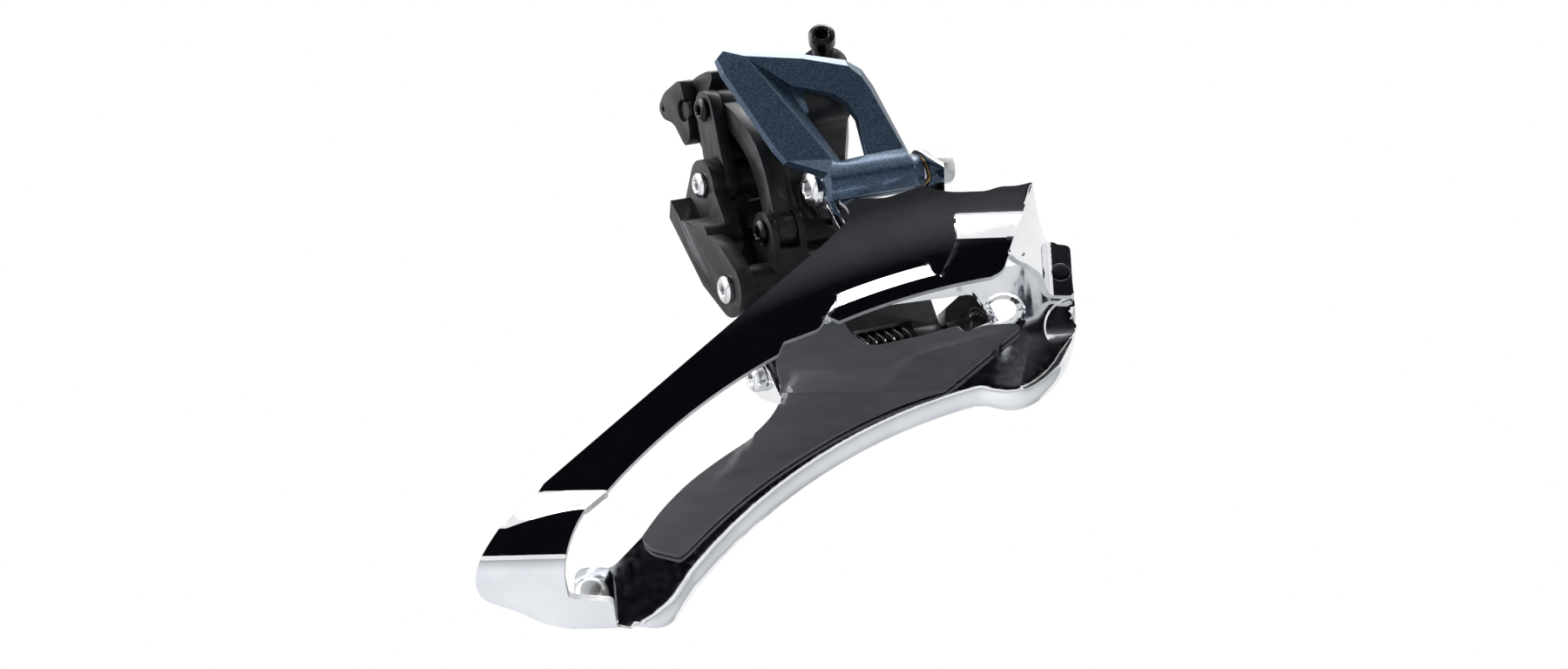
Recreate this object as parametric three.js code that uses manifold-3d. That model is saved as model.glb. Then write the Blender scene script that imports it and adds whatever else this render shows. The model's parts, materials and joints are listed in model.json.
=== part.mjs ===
// Front derailleur, toggle-link type, for a brazed-on frame bracket.
// Millimetres. +X forward, +Y inboard (towards the bicycle's middle), +Z up.
// The origin is the middle of the curved mounting face, on its crest line.
import * as THREE from 'three';
import { mergeVertices } from 'three/addons/utils/BufferGeometryUtils.js';
import Module from 'manifold-3d';

const wasm = await Module();
wasm.setup();

// ---------------------------------------------------------------- driving dimensions
const GAP = 0.3;                 // between pieces that meet face to face
const RUN = 0.15;                // radial clearance of a pin in its eye
const SHEET = 1.2;               // cage sheet thickness
const THROUGH = 30;              // a drill this long each way from the middle goes right through
const LAP = 0.01;                // joined pieces run into each other by this much
const FACETS = 20;               // sides of a pin or hole
const FINE_FACETS = 36;          // sides of a boss, eye or tube that shows

// All pins are parallel. Their direction is turned inboard and tipped up from straight ahead.
const PIN_YAW = THREE.MathUtils.degToRad(22.5);
const PIN_PITCH = THREE.MathUtils.degToRad(21.5);
const PIN_ROLL = THREE.MathUtils.degToRad(9.5);
const LINKAGE_ORIGIN = new THREE.Vector3(0, -5, 0);

// Pivots in the linkage plane: x inboard, y up, seen along the pins.
const PIVOT_INNER = [-1.0, -20.2];          // inner link in the base
const PIVOT_CAGE_INNER = [3.9, -36.5];      // inner link in the cage
const PIVOT_CAGE_OUTER = [-17.2, -13.2];    // outer link in the cage
const PIVOT_OUTER = [                       // outer link in the base: closes the parallelogram
  PIVOT_INNER[0] + PIVOT_CAGE_OUTER[0] - PIVOT_CAGE_INNER[0],
  PIVOT_INNER[1] + PIVOT_CAGE_OUTER[1] - PIVOT_CAGE_INNER[1],
];
const PIVOT_ARM = [-2.4, 2.7];              // cable arm in the base
const PIVOT_TOGGLE_TOP = [-10.0, 14.0];     // toggle link in the cable arm
const PIVOT_TOGGLE_LOW = [-7.0, -13.3];     // toggle link in the inner link

// Cage: the lower edges follow the chainring, so they share its centre.
const RING_CENTRE = [53.9, -135.5];         // X, Z
const OUTER_EDGE_RADIUS = 104.3;
const INNER_EDGE_RADIUS = [89.0, 86.5];     // front, tail
const SKID_EDGE_RADIUS = 90.6;
const FLANGE_DEPTH = 2.6;                   // the inner plate's lower edge turns inboard
const OUTER_FACE = -25.0;                   // Y of the outer plate's outboard face
const INNER_FACE = -13.0;                   // Y of the inner plate's outboard face
const OVERLAP_FACE = INNER_FACE - GAP - SHEET;  // where the outer plate laps over the inner at its ends
const TAIL_FLARE = 3.5;                     // the outer plate steps outboard at the tail
const SKID_THICKNESS = 1.2;

// ---------------------------------------------------------------- colours
const finish = (color, roughness, metalness) => ({ color, roughness, metalness });
const CHROME = finish(0xd8dadd, 0.12, 1.0);
const STEEL = finish(0xb9bbbd, 0.32, 1.0);
const BLACK_STEEL = finish(0x1b1c1e, 0.35, 0.8);
const BLACK_ALLOY = finish(0x17181a, 0.45, 0.6);
const BLUE_GREY = finish(0x4a6079, 0.35, 0.7);
const RESIN = finish(0x3a3d42, 0.6, 0.0);
const BRONZE = finish(0x8a7648, 0.4, 0.9);

// ---------------------------------------------------------------- frames
const inboard = new THREE.Vector3();
const upward = new THREE.Vector3();
const pinAxis = new THREE.Vector3(
  Math.cos(PIN_YAW) * Math.cos(PIN_PITCH),
  Math.sin(PIN_YAW) * Math.cos(PIN_PITCH),
  Math.sin(PIN_PITCH),
);
{
  const level = new THREE.Vector3(-Math.sin(PIN_YAW), Math.cos(PIN_YAW), 0);
  const steep = new THREE.Vector3().crossVectors(level, pinAxis).negate();
  inboard.copy(level).multiplyScalar(Math.cos(PIN_ROLL)).addScaledVector(steep, -Math.sin(PIN_ROLL));
  upward.crossVectors(pinAxis, inboard);
}
// Linkage frame: x inboard, y up, z forward along the pins.
const linkageFrame = new THREE.Matrix4().makeBasis(inboard, upward, pinAxis).setPosition(LINKAGE_ORIGIN);

// ---------------------------------------------------------------- solids
const toSolid = (geometry) => {
  const bare = geometry.clone();
  bare.deleteAttribute('normal');
  bare.deleteAttribute('uv');
  const welded = mergeVertices(bare, 1e-4);
  return new wasm.Manifold(new wasm.Mesh({
    numProp: 3,
    vertProperties: Float32Array.from(welded.attributes.position.array),
    triVerts: Uint32Array.from(welded.index.array),
  }));
};

const toGeometry = (solid) => {
  const mesh = solid.getMesh();
  const geometry = new THREE.BufferGeometry();
  geometry.setAttribute('position', new THREE.BufferAttribute(mesh.vertProperties, 3));
  geometry.setIndex(new THREE.BufferAttribute(mesh.triVerts, 1));
  const flat = geometry.toNonIndexed();
  flat.computeVertexNormals();
  return flat;
};

const outline = (points) => new THREE.Shape(points.map(([x, y]) => new THREE.Vector2(x, y)));

const extruded = (points, depth) => new THREE.ExtrudeGeometry(outline(points), {
  depth, bevelEnabled: false, steps: 1,
});

// A flat outline pushed along z from one level to another.
const prism = (points, from, to) => toSolid(extruded(points, to - from).translate(0, 0, from));

// The same, for an outline in X and Z pushed along Y.
const prismAlongY = (points, from, to) => toSolid(
  extruded(points, to - from).rotateX(Math.PI / 2).translate(0, to, 0),
);

// The same, for an outline in Y and Z pushed along X.
const outlineFacingX = new THREE.Matrix4().makeBasis(
  new THREE.Vector3(0, 1, 0), new THREE.Vector3(0, 0, 1), new THREE.Vector3(1, 0, 0),
);
const prismAlongX = (points, from, to) => toSolid(
  extruded(points, to - from).applyMatrix4(outlineFacingX).translate(from, 0, 0),
);

const rod = ([x, y], radius, from, to, sides = FACETS) => {
  const geometry = new THREE.CylinderGeometry(radius, radius, to - from, sides);
  return toSolid(geometry.rotateX(Math.PI / 2).translate(x, y, (from + to) / 2));
};

const rodAlongY = ([x, z], radius, from, to, sides = FACETS) => {
  const geometry = new THREE.CylinderGeometry(radius, radius, to - from, sides);
  return toSolid(geometry.translate(x, (from + to) / 2, z));
};

const hexAlongZ = (place, acrossFlats, from, to) => rod(place, acrossFlats / Math.sqrt(3), from, to, 6);
const hexAlongY = (place, acrossFlats, from, to) => rodAlongY(place, acrossFlats / Math.sqrt(3), from, to, 6);

// A running hole for a pin of the given radius.
const bore = (place, radius, from = -THROUGH, to = THROUGH) => rod(place, radius + RUN, from, to);
const boreAlongY = (place, radius, from = -THROUGH, to = THROUGH) => rodAlongY(place, radius + RUN, from, to);

const join = (...solids) => solids.reduce((whole, piece) => whole.add(piece));
const cut = (whole, ...tools) => tools.reduce((rest, tool) => rest.subtract(tool), whole);
const moved = (solid, matrix) => toSolid(toGeometry(solid).applyMatrix4(matrix));

// Values from one end to the other in even steps, both ends included.
const evenly = (from, to, count) => Array.from(
  { length: count + 1 }, (_, i) => from + ((to - from) * i) / count,
);

const arcPoints = (centre, radius, fromDeg, toDeg, count) => evenly(fromDeg, toDeg, count).map((degrees) => {
  const angle = THREE.MathUtils.degToRad(degrees);
  return [centre[0] + radius * Math.cos(angle), centre[1] + radius * Math.sin(angle)];
});

const distance = (a, b) => Math.hypot(b[0] - a[0], b[1] - a[1]);

// The point that lies a given way along from one point to another.
const toward = (from, to, reach) => {
  const share = reach / distance(from, to);
  return [from[0] + (to[0] - from[0]) * share, from[1] + (to[1] - from[1]) * share];
};

// The outline with each corner eased into a curve of a few short runs. A curve takes up
// less than half of the edge on either side of it.
const EASE_STEPS = 4;
const EASE_SHARE = 0.45;
const eased = (points, reach) => points.flatMap((corner, i) => {
  const before = points[(i + points.length - 1) % points.length];
  const after = points[(i + 1) % points.length];
  const foot = (other) => toward(corner, other, Math.min(reach, distance(corner, other) * EASE_SHARE));
  const start = foot(before);
  const end = foot(after);
  return evenly(0, 1, EASE_STEPS).map((t) => [0, 1].map(
    (axis) => start[axis] * (1 - t) ** 2 + 2 * corner[axis] * t * (1 - t) + end[axis] * t ** 2,
  ));
});

// A straight bar with round ends between two points, as an outline.
const BAR_END_RUNS = 14;
const barOutline = (a, b, radiusA, radiusB = radiusA) => {
  const heading = THREE.MathUtils.radToDeg(Math.atan2(b[1] - a[1], b[0] - a[0]));
  return [
    ...arcPoints(b, radiusB, heading - 90, heading + 90, BAR_END_RUNS),
    ...arcPoints(a, radiusA, heading + 90, heading + 270, BAR_END_RUNS),
  ];
};

const assembly = new THREE.Group();
assembly.name = 'front_derailleur';
const linkage = new THREE.Group();
linkage.applyMatrix4(linkageFrame);
assembly.add(linkage);

const addPiece = (group, name, solid, look) => {
  const mesh = new THREE.Mesh(toGeometry(solid), new THREE.MeshStandardMaterial(look));
  mesh.name = name;
  group.add(mesh);
};

// ---------------------------------------------------------------- stations along the pins
const CHEEK_REAR = [-20.4, -17.4];      // lower rear cheek of the base, around the inner pivot
const CHEEK_ARM = [-16.2, -13.4];       // upper rear cheek, around the cable arm's pivot
const CHEEK_FRONT = [5.3, 8.5];
const ARM_SPAN = [-13.1, -5.2];
const TOGGLE_SPAN = [-10.4, -6.9];
const BOSS_SPAN = [-3.2, 6.7];          // outer pivot boss of the base
const OUTER_EAR_REAR = [-7.0, -3.5];
const OUTER_EAR_FRONT = [7.0, 9.8];
const TUBE_SPAN = [-2.6, 16.4];         // lower tube of the outer link
const CAGE_LUG_REAR = [-4.4, -3.2];
const CAGE_LUG_FRONT = [17.0, 18.2];
const CAGE_EAR_REAR = [-19.6, -18.4];
const CAGE_EAR_FRONT = [17.6, 18.8];
const INNER_TUBE = [-17.1, 5.0];
const SPRING_SPAN = [-1.2, 11.2];
const PIN_INNER_RADIUS = 1.9;
const PIN_OUTER_RADIUS = 2.0;
const PIN_SMALL_RADIUS = 1.5;

// ---------------------------------------------------------------- adjusting screws of the base
// The two limit screws stand upright in the core, each with its head in a counterbore.
const LIMIT_SCREWS = { low_limit_screw: [-7.5, -0.5], high_limit_screw: [-7.5, 4.1] };
const LIMIT_RADIUS = 1.2;
const LIMIT_HEAD_RADIUS = 1.8;
const LIMIT_SHANK = [-6.6, 12.6];
const LIMIT_SINK = 11.2;                // floor of the counterbore
// The tension screw is hollow: the cable runs through it.
const TENSION_AXIS = [5.6, -11.0];
const TENSION_RADIUS = 1.8;
const TENSION_SHANK = [-13.8, 4.6];
const CABLE_RADIUS = 0.7;

const tensionBoss = () => moved(rodAlongY(TENSION_AXIS, 3.2, -13.2, 3.2), linkageFrame);

const screwHoles = () => [
  ...Object.values(LIMIT_SCREWS).flatMap((place) => [
    boreAlongY(place, LIMIT_RADIUS),
    boreAlongY(place, LIMIT_HEAD_RADIUS, LIMIT_SINK),
  ]),
  boreAlongY(TENSION_AXIS, TENSION_RADIUS, -THROUGH, 10),
].map((hole) => moved(hole, linkageFrame));

// ---------------------------------------------------------------- base
const SUPPORT_AXIS = [8.3, 24.4];       // X, Z of the support bolt
const SUPPORT_RADIUS = 2.0;
const SUPPORT_BOSS = [-10.6, -4.2];
const BOLT_RADIUS = 2.5;                // thread of the mounting bolt
const BRACKET_THICKNESS = 3.4;          // room for the frame's bracket behind the washer
const BRACKET_ROOM = -2.2;              // only the mounting boss comes nearer to the bracket than this
const BRACKET_FOOT = -12.5;             // below this height there is no bracket to keep clear of
const RELIEF_RADIUS = 5.6;              // shallow round recess about the bolt
const RELIEF_DEPTH = 0.4;

// The mounting face is convex about the upright axis, with a narrow flat land along its crest.
const FACE_RADIUS = 16;
const BOSS_HALF_WIDTH = 6.0;
const BOSS_HALF_HEIGHT = 9.3;
const LAND = 2.1;
const curveDrop = (x) => Math.sqrt(FACE_RADIUS ** 2 - x ** 2) - FACE_RADIUS;

const baseBody = () => {
  const core = prism(eased([
    [PIVOT_OUTER[0] - 1, PIVOT_OUTER[1] - 4.6], [-18.0, -1.4], [-9.0, -4.0], [-5.5, -13.5], [-4.0, -15.4],
    [1.6, -15.4], [2.6, -10.0], [2.6, 9.0], [-3.0, 14.0], [-12.0, 13.0],
    [PIVOT_OUTER[0] - 1, PIVOT_OUTER[1] + 4.6],
  ], 2.5), ...BOSS_SPAN);
  const outerBoss = rod(PIVOT_OUTER, 4.7, ...BOSS_SPAN, FINE_FACETS);
  const frontCheek = prism([
    ...arcPoints(PIVOT_INNER, 4.6, 180, 360, 16), [2.6, -12.0], [-5.6, -12.0],
  ], ...CHEEK_FRONT);
  const wall = prism([[3.2, -13.4], [6.4, -13.4], [6.4, 3.0], [3.2, 4.5]], CHEEK_REAR[0], BOSS_SPAN[0] + 1);
  const wallRoot = prism([[-1.6, -9.0], [6.4, -9.0], [6.4, 5.0], [-1.6, 9.5]], -4.6, BOSS_SPAN[0] + 1);
  const lowerCheek = prism(eased([
    ...arcPoints(PIVOT_INNER, 5.2, 170, 340, 16), [6.4, -13.4], [6.4, 0.0], [3.2, 0.0], [-5.2, -12.6],
  ], 2.0), ...CHEEK_REAR);
  const upperCheek = prism(eased([
    ...arcPoints(PIVOT_ARM, 4.6, 80, 230, 14), [-3.6, -7.5], [6.4, -11.0], [6.4, 5.6],
  ], 1.5), ...CHEEK_ARM);
  const cheekStep = prism(eased([
    [-3.6, -7.5], [-2.6, -11.0], [6.4, -13.0], [6.4, -2.0], [1.0, -2.0],
  ], 1.2), CHEEK_REAR[0], CHEEK_ARM[1]);

  const body = join(core, outerBoss, frontCheek, wall, wallRoot, lowerCheek, upperCheek, cheekStep);
  const holes = [
    bore(PIVOT_OUTER, PIN_OUTER_RADIUS),
    bore(PIVOT_INNER, PIN_INNER_RADIUS),
    bore(PIVOT_ARM, PIN_SMALL_RADIUS, -THROUGH, -3.6),
  ];
  const drilled = moved(cut(body, ...holes), linkageFrame);

  // mounting boss: a convex face for the bracket's curved slot, with a round relief at the bolt
  const curve = [1, 0.75, 0.5].map((part) => [BOSS_HALF_WIDTH * part, curveDrop(BOSS_HALF_WIDTH * part)]);
  const boss = prism([
    [-BOSS_HALF_WIDTH, -7.5], [BOSS_HALF_WIDTH, -7.5], ...curve, [LAND, 0], [-LAND, 0],
    ...curve.map(([x, y]) => [-x, y]).reverse(),
  ], -BOSS_HALF_HEIGHT, BOSS_HALF_HEIGHT);
  const armRoom = [rod(PIVOT_ARM, 4.4, -30, -4.7), bore(PIVOT_ARM, PIN_SMALL_RADIUS, -THROUGH, -3.6)]
    .map((room) => moved(room, linkageFrame));
  // lug that carries the support bolt
  const lug = prismAlongY([
    ...arcPoints(SUPPORT_AXIS, 4.6, 20, 160, 12), [3.0, 12.0], [1.5, 4.0], [12.0, 4.0], [12.6, 12.0],
  ], ...SUPPORT_BOSS);
  // beside the bracket the body stops short of it
  const [reachX, reachY, reachZ] = [60, 20, 60];
  const bracketSide = prismAlongY([
    [-reachX, BRACKET_FOOT], [reachX, BRACKET_FOOT], [reachX, reachZ], [-reachX, reachZ],
  ], BRACKET_ROOM, reachY);

  return cut(
    join(cut(drilled, bracketSide), cut(boss, ...armRoom), lug, tensionBoss()),
    boreAlongY([0, 0], BOLT_RADIUS, -12, 1),
    rodAlongY([0, 0], RELIEF_RADIUS, -RELIEF_DEPTH, 1, FINE_FACETS),
    boreAlongY(SUPPORT_AXIS, SUPPORT_RADIUS),
    ...screwHoles(),
  );
};

const screwAlongY = (place, shank, head, hex) => cut(
  join(
    rodAlongY(place, shank.radius, shank.from, shank.to),
    rodAlongY(place, head.radius, head.from, head.to),
  ),
  hexAlongY(place, hex.size, hex.from, hex.to),
);

// A pin with a flat round head at its rear end.
const headedPin = (place, radius, headRadius, from, headLength, to) => join(
  rod(place, headRadius, from - headLength, from),
  rod(place, radius, from - LAP, to),
);

function addBase() {
  addPiece(assembly, 'base_body', baseBody(), BLACK_ALLOY);

  const boltHead = BRACKET_THICKNESS + 1.6;
  addPiece(assembly, 'braze_on_bolt', screwAlongY(
    [0, 0],
    { radius: BOLT_RADIUS, from: -9, to: boltHead },
    { radius: 4.2, from: boltHead - LAP, to: boltHead + 4 },
    { size: 4, from: boltHead + 1.2, to: boltHead + 5 },
  ), STEEL);
  addPiece(assembly, 'radius_washer', cut(
    rodAlongY([0, 0], 5.0, BRACKET_THICKNESS, boltHead - 0.1, 24),
    boreAlongY([0, 0], BOLT_RADIUS),
  ), STEEL);

  addPiece(linkage, 'outer_link_pin', rod(PIVOT_OUTER, PIN_OUTER_RADIUS, -7.4, 10.2), STEEL);
  addPiece(linkage, 'inner_link_pin', headedPin(PIVOT_INNER, PIN_INNER_RADIUS, 2.5, -20.7, 1.0, 8.8), CHROME);
  addPiece(linkage, 'arm_pivot_pin', headedPin(PIVOT_ARM, PIN_SMALL_RADIUS, 2.3, -16.5, 1.0, -3.9), CHROME);

  const [limitFoot, limitHead] = LIMIT_SHANK;
  for (const [name, place] of Object.entries(LIMIT_SCREWS)) {
    addPiece(linkage, name, screwAlongY(
      place,
      { radius: LIMIT_RADIUS, from: limitFoot, to: limitHead },
      { radius: LIMIT_HEAD_RADIUS, from: limitHead - LAP, to: limitHead + 2 },
      { size: 2, from: limitHead + 0.6, to: limitHead + 3 },
    ), BLACK_STEEL);
  }
  const [tensionHead, tensionEnd] = TENSION_SHANK;
  addPiece(linkage, 'cable_tension_screw', cut(
    join(
      rodAlongY(TENSION_AXIS, TENSION_RADIUS, tensionHead, tensionEnd),
      rodAlongY(TENSION_AXIS, 2.6, tensionHead - 3, tensionHead + LAP, 12),
    ),
    rodAlongY(TENSION_AXIS, CABLE_RADIUS, -THROUGH, THROUGH, 12),
  ), STEEL);
  const supportHead = -18.2;
  addPiece(assembly, 'support_bolt', screwAlongY(
    SUPPORT_AXIS,
    { radius: SUPPORT_RADIUS, from: supportHead, to: -0.6 },
    { radius: 2.5, from: supportHead - 2.8, to: supportHead + LAP },
    { size: 2, from: supportHead - 4, to: supportHead - 1.2 },
  ), BLACK_STEEL);
}

// ---------------------------------------------------------------- outer link
// Its own plane: l along the pins, s from the upper pivot to the lower, n outboard.
const LINK_LENGTH = distance(PIVOT_OUTER, PIVOT_CAGE_OUTER);
const BUSH_RADIUS = PIN_OUTER_RADIUS + 0.75;    // outside of the two bushes in the link's tube
const BUSH_LENGTH = 5.3;
const linkDown = [
  (PIVOT_CAGE_OUTER[0] - PIVOT_OUTER[0]) / LINK_LENGTH,
  (PIVOT_CAGE_OUTER[1] - PIVOT_OUTER[1]) / LINK_LENGTH,
];
const linkOut = [linkDown[1], -linkDown[0]];
const linkPlane = new THREE.Matrix4().makeBasis(
  new THREE.Vector3(0, 0, 1),
  new THREE.Vector3(linkDown[0], linkDown[1], 0),
  new THREE.Vector3(-linkOut[0], -linkOut[1], 0),
).setPosition(PIVOT_OUTER[0], PIVOT_OUTER[1], 0);
const onLink = (s, n) => [
  PIVOT_OUTER[0] + linkDown[0] * s + linkOut[0] * n,
  PIVOT_OUTER[1] + linkDown[1] * s + linkOut[1] * n,
];

const [FACE_BACK, FACE_FRONT] = [5.2, 7.2];     // n of the face plate's two sides
const linkFaceOutline = [
  [-18.4, -7.6], [-16.6, -9.0], [-2.0, -6.6], [6.6, -4.2], [9.2, -2.0], [10.4, 1.5],
  [12.8, 15.0], [12.4, 21.6], [-3.9, 21.6], [-5.3, 21.6], [-5.2, 17.5], [-11.8, 13.6],
  [-13.2, 10.8], [-18.2, -4.6],
];
const linkWindow = [[-6.2, -0.4], [1.6, 2.2], [3.8, 4.2], [4.9, 7.4], [4.3, 14.4], [-0.9, 14.6]];

function addOuterLink() {
  const face = moved(cut(
    prism(linkFaceOutline, -FACE_FRONT, -FACE_BACK),
    prism(linkWindow, -THROUGH, 0),
  ), linkPlane);
  const heading = THREE.MathUtils.radToDeg(Math.atan2(linkDown[1], linkDown[0]));
  const ear = ([from, to], radius, topCorner) => prism([
    ...arcPoints(PIVOT_OUTER, radius, heading, heading + 180, 16),
    onLink(topCorner, FACE_BACK + 0.6), onLink(radius, FACE_BACK + 0.6),
  ], from, to);
  const tube = rod(PIVOT_CAGE_OUTER, 3.4, ...TUBE_SPAN, FINE_FACETS);
  const root = prism([
    onLink(14.9, FACE_BACK + 0.5), onLink(14.9, 2.0), onLink(17.2, 0.6), onLink(19.6, 1.6),
    onLink(21.0, FACE_BACK + 0.5),
  ], TUBE_SPAN[0], 12.4);
  const solid = cut(
    join(face, ear(OUTER_EAR_REAR, 4.4, -4.4), ear(OUTER_EAR_FRONT, 3.8, -1.2), tube, root),
    bore(PIVOT_OUTER, PIN_OUTER_RADIUS),
    bore(PIVOT_CAGE_OUTER, BUSH_RADIUS),
  );
  addPiece(linkage, 'outer_link', solid, BLUE_GREY);

  const bush = (from) => cut(
    rod(PIVOT_CAGE_OUTER, BUSH_RADIUS, from, from + BUSH_LENGTH),
    bore(PIVOT_CAGE_OUTER, PIN_OUTER_RADIUS),
  );
  addPiece(linkage, 'outer_link_bush_rear', bush(TUBE_SPAN[0] - GAP), BRONZE);
  addPiece(linkage, 'outer_link_bush_front', bush(TUBE_SPAN[1] + GAP - BUSH_LENGTH), BRONZE);
}

// ---------------------------------------------------------------- inner link
const INNER_LINK_FRONT = 17.2;
const SPRING_ROOM = [SPRING_SPAN[0] - 0.4, SPRING_SPAN[1] + 0.4];
function addInnerLink() {
  const webRear = prism(barOutline(PIVOT_INNER, PIVOT_CAGE_INNER, 2.7), ...INNER_TUBE);
  const webFront = cut(
    prism(barOutline(toward(PIVOT_INNER, PIVOT_CAGE_INNER, 7), PIVOT_CAGE_INNER, 2.7), 4.0, INNER_LINK_FRONT),
    rod(PIVOT_INNER, 5.0, INNER_TUBE[1], 20),
  );
  const horn = prism(barOutline(PIVOT_INNER, PIVOT_TOGGLE_LOW, 3.4, 3.6), -12.1, -5.3);
  const solid = cut(
    join(
      rod(PIVOT_INNER, 3.6, ...INNER_TUBE, FINE_FACETS),
      rod(PIVOT_CAGE_INNER, 3.4, -18.1, SPRING_ROOM[0], FINE_FACETS),
      rod(PIVOT_CAGE_INNER, 3.7, SPRING_ROOM[1], INNER_LINK_FRONT, FINE_FACETS),
      webRear, webFront, horn,
    ),
    rod(PIVOT_CAGE_INNER, 5.0, ...SPRING_ROOM),
    rod(PIVOT_TOGGLE_LOW, 5.0, TOGGLE_SPAN[0] - GAP, TOGGLE_SPAN[1] + GAP),
    bore(PIVOT_INNER, PIN_INNER_RADIUS),
    bore(PIVOT_CAGE_INNER, PIN_INNER_RADIUS),
    bore(PIVOT_TOGGLE_LOW, PIN_SMALL_RADIUS),
  );
  addPiece(linkage, 'inner_link', solid, BLACK_ALLOY);
  const lowerPin = headedPin(PIVOT_TOGGLE_LOW, PIN_SMALL_RADIUS, 2.3, -12.4, 0.9, -5.0);
  addPiece(linkage, 'toggle_pin_lower', lowerPin, BLACK_STEEL);
}

// ---------------------------------------------------------------- cable arm and toggle link
const TOGGLE_BULGE = 5.0;
const TOGGLE_HALF_WIDTH = 2.3;
const CLAMP_RADIUS = 2.0;
const CABLE_EYE = [2.5, 25.6];          // hole in the guide's tip
const CABLE_EYE_RADIUS = 0.55;
function addToggleTrain() {
  const cheekBar = barOutline(PIVOT_ARM, PIVOT_TOGGLE_TOP, 3.9, 3.4);
  const guidePlate = eased([
    [0.6, 5.2], [1.2, 12.0], [1.0, 21.0], [3.4, 24.8], [3.0, 26.8], [-0.6, 26.8], [-9.6, 22.6],
    [-14.0, 19.8], [-13.2, 18.2], [-8.0, 18.2], [-6.0, 15.6], [-6.0, 11.6], [-4.6, 6.0],
  ], 2.0);
  const clampPlace = [-3.6, 19.6];
  const arm = cut(
    join(
      rod(PIVOT_ARM, 2.9, ...ARM_SPAN),
      prism(cheekBar, ARM_SPAN[0], TOGGLE_SPAN[0] - GAP),
      prism(cheekBar, TOGGLE_SPAN[1] + GAP, ARM_SPAN[1]),
      prism(guidePlate, TOGGLE_SPAN[0], ARM_SPAN[1]),
    ),
    bore(PIVOT_ARM, PIN_SMALL_RADIUS),
    bore(PIVOT_TOGGLE_TOP, PIN_SMALL_RADIUS),
    bore(clampPlace, CLAMP_RADIUS),
  );
  addPiece(linkage, 'cable_arm', arm, BLACK_ALLOY);
  addPiece(linkage, 'cable_guide', cut(
    prism(eased([
      [-1.6, 14.6], [1.2, 14.8], [1.6, 16.4], [1.4, 21.0], [4.1, 24.5], [3.9, 27.2], [-0.3, 27.2],
      [-7.4, 24.0], [-7.0, 22.6], [-4.0, 17.4],
    ], 1.6), ARM_SPAN[0] - 0.2, TOGGLE_SPAN[0] - GAP),
    rod(CABLE_EYE, CABLE_EYE_RADIUS, -THROUGH, THROUGH, 12),
    bore(clampPlace, CLAMP_RADIUS),
  ), BLACK_ALLOY);
  addPiece(linkage, 'cable_clamp_bolt', cut(
    join(
      rod(clampPlace, CLAMP_RADIUS, -12.8, -3.5),
      rod(clampPlace, 3.4, -3.5 - LAP, -0.3, FINE_FACETS),
    ),
    hexAlongZ(clampPlace, 3, -2.2, 1),
  ), BLACK_STEEL);
  addPiece(linkage, 'cable_clamp_plate', cut(
    prism([[-8.2, 17.2], [-1.0, 16.2], [0.6, 21.0], [-3.0, 23.6], [-7.4, 22.0]], -4.9, -3.8),
    bore(clampPlace, CLAMP_RADIUS),
  ), STEEL);
  const upperPin = headedPin(PIVOT_TOGGLE_TOP, PIN_SMALL_RADIUS, 2.3, -13.4, 0.9, -4.9);
  addPiece(linkage, 'toggle_pin_upper', upperPin, BLACK_STEEL);

  // the toggle link bows outboard between its eyes
  const top = new THREE.Vector2(...PIVOT_TOGGLE_TOP);
  const low = new THREE.Vector2(...PIVOT_TOGGLE_LOW);
  const along = low.clone().sub(top);
  const side = new THREE.Vector2(along.y, -along.x).normalize();
  const bow = (t, offset) => {
    const spot = top.clone().addScaledVector(along, t)
      .addScaledVector(side, TOGGLE_BULGE * Math.sin(Math.PI * t) + offset);
    return [spot.x, spot.y];
  };
  const strap = [
    ...evenly(0, 1, 10).map((t) => bow(t, TOGGLE_HALF_WIDTH)),
    ...evenly(1, 0, 10).map((t) => bow(t, -TOGGLE_HALF_WIDTH)),
  ];
  if (THREE.ShapeUtils.isClockWise(strap.map(([x, y]) => new THREE.Vector2(x, y)))) strap.reverse();
  addPiece(linkage, 'toggle_link', cut(
    join(
      prism(strap, ...TOGGLE_SPAN),
      rod(PIVOT_TOGGLE_TOP, 3.2, ...TOGGLE_SPAN, FINE_FACETS),
      rod(PIVOT_TOGGLE_LOW, 3.4, ...TOGGLE_SPAN, FINE_FACETS),
    ),
    bore(PIVOT_TOGGLE_TOP, PIN_SMALL_RADIUS),
    bore(PIVOT_TOGGLE_LOW, PIN_SMALL_RADIUS),
  ), BLACK_ALLOY);
}

// ---------------------------------------------------------------- cage
// The outline of a sheet of even thickness whose one face follows the path.
const sheetOutline = (path, thickness) => {
  const points = path.map(([x, y]) => new THREE.Vector2(x, y));
  const normalAt = (i) => {
    const before = points[Math.max(i - 1, 0)];
    const after = points[Math.min(i + 1, points.length - 1)];
    const run = after.clone().sub(before).normalize();
    return new THREE.Vector2(-run.y, run.x);
  };
  const back = points.map((point, i) => point.clone().addScaledVector(normalAt(i), thickness));
  return [...path, ...back.reverse().map(({ x, y }) => [x, y])];
};

// Points on an arc about the chainring's centre; the radius may grow or shrink on the way.
const ringArc = (radius, fromX, toX, count, endRadius = radius) => evenly(0, 1, count).map((t) => {
  const x = fromX + (toX - fromX) * t;
  const here = radius + (endRadius - radius) * t;
  return [x, RING_CENTRE[1] + Math.sqrt(here ** 2 - (x - RING_CENTRE[0]) ** 2)];
});

// X, Z of what joins the plates to each other and the skid to the inner plate
const TAIL_RIVET = [-31.4, -85.2];
const NOSE_RIVET = [50.0, -25.0];
const SKID_STUDS = [[-12.0, -69.6], [14.0, -51.0]];
const RIVET_RADIUS = 1.5;
const STUD_RADIUS = 1.2;

// The part of a turned-in lug that lies inboard of its plate's face.
const inboardOf = (face, lug) => cut(lug, prismAlongY([
  [-60, -110], [60, -110], [60, 20], [-60, 20],
], -60, face));

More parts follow.
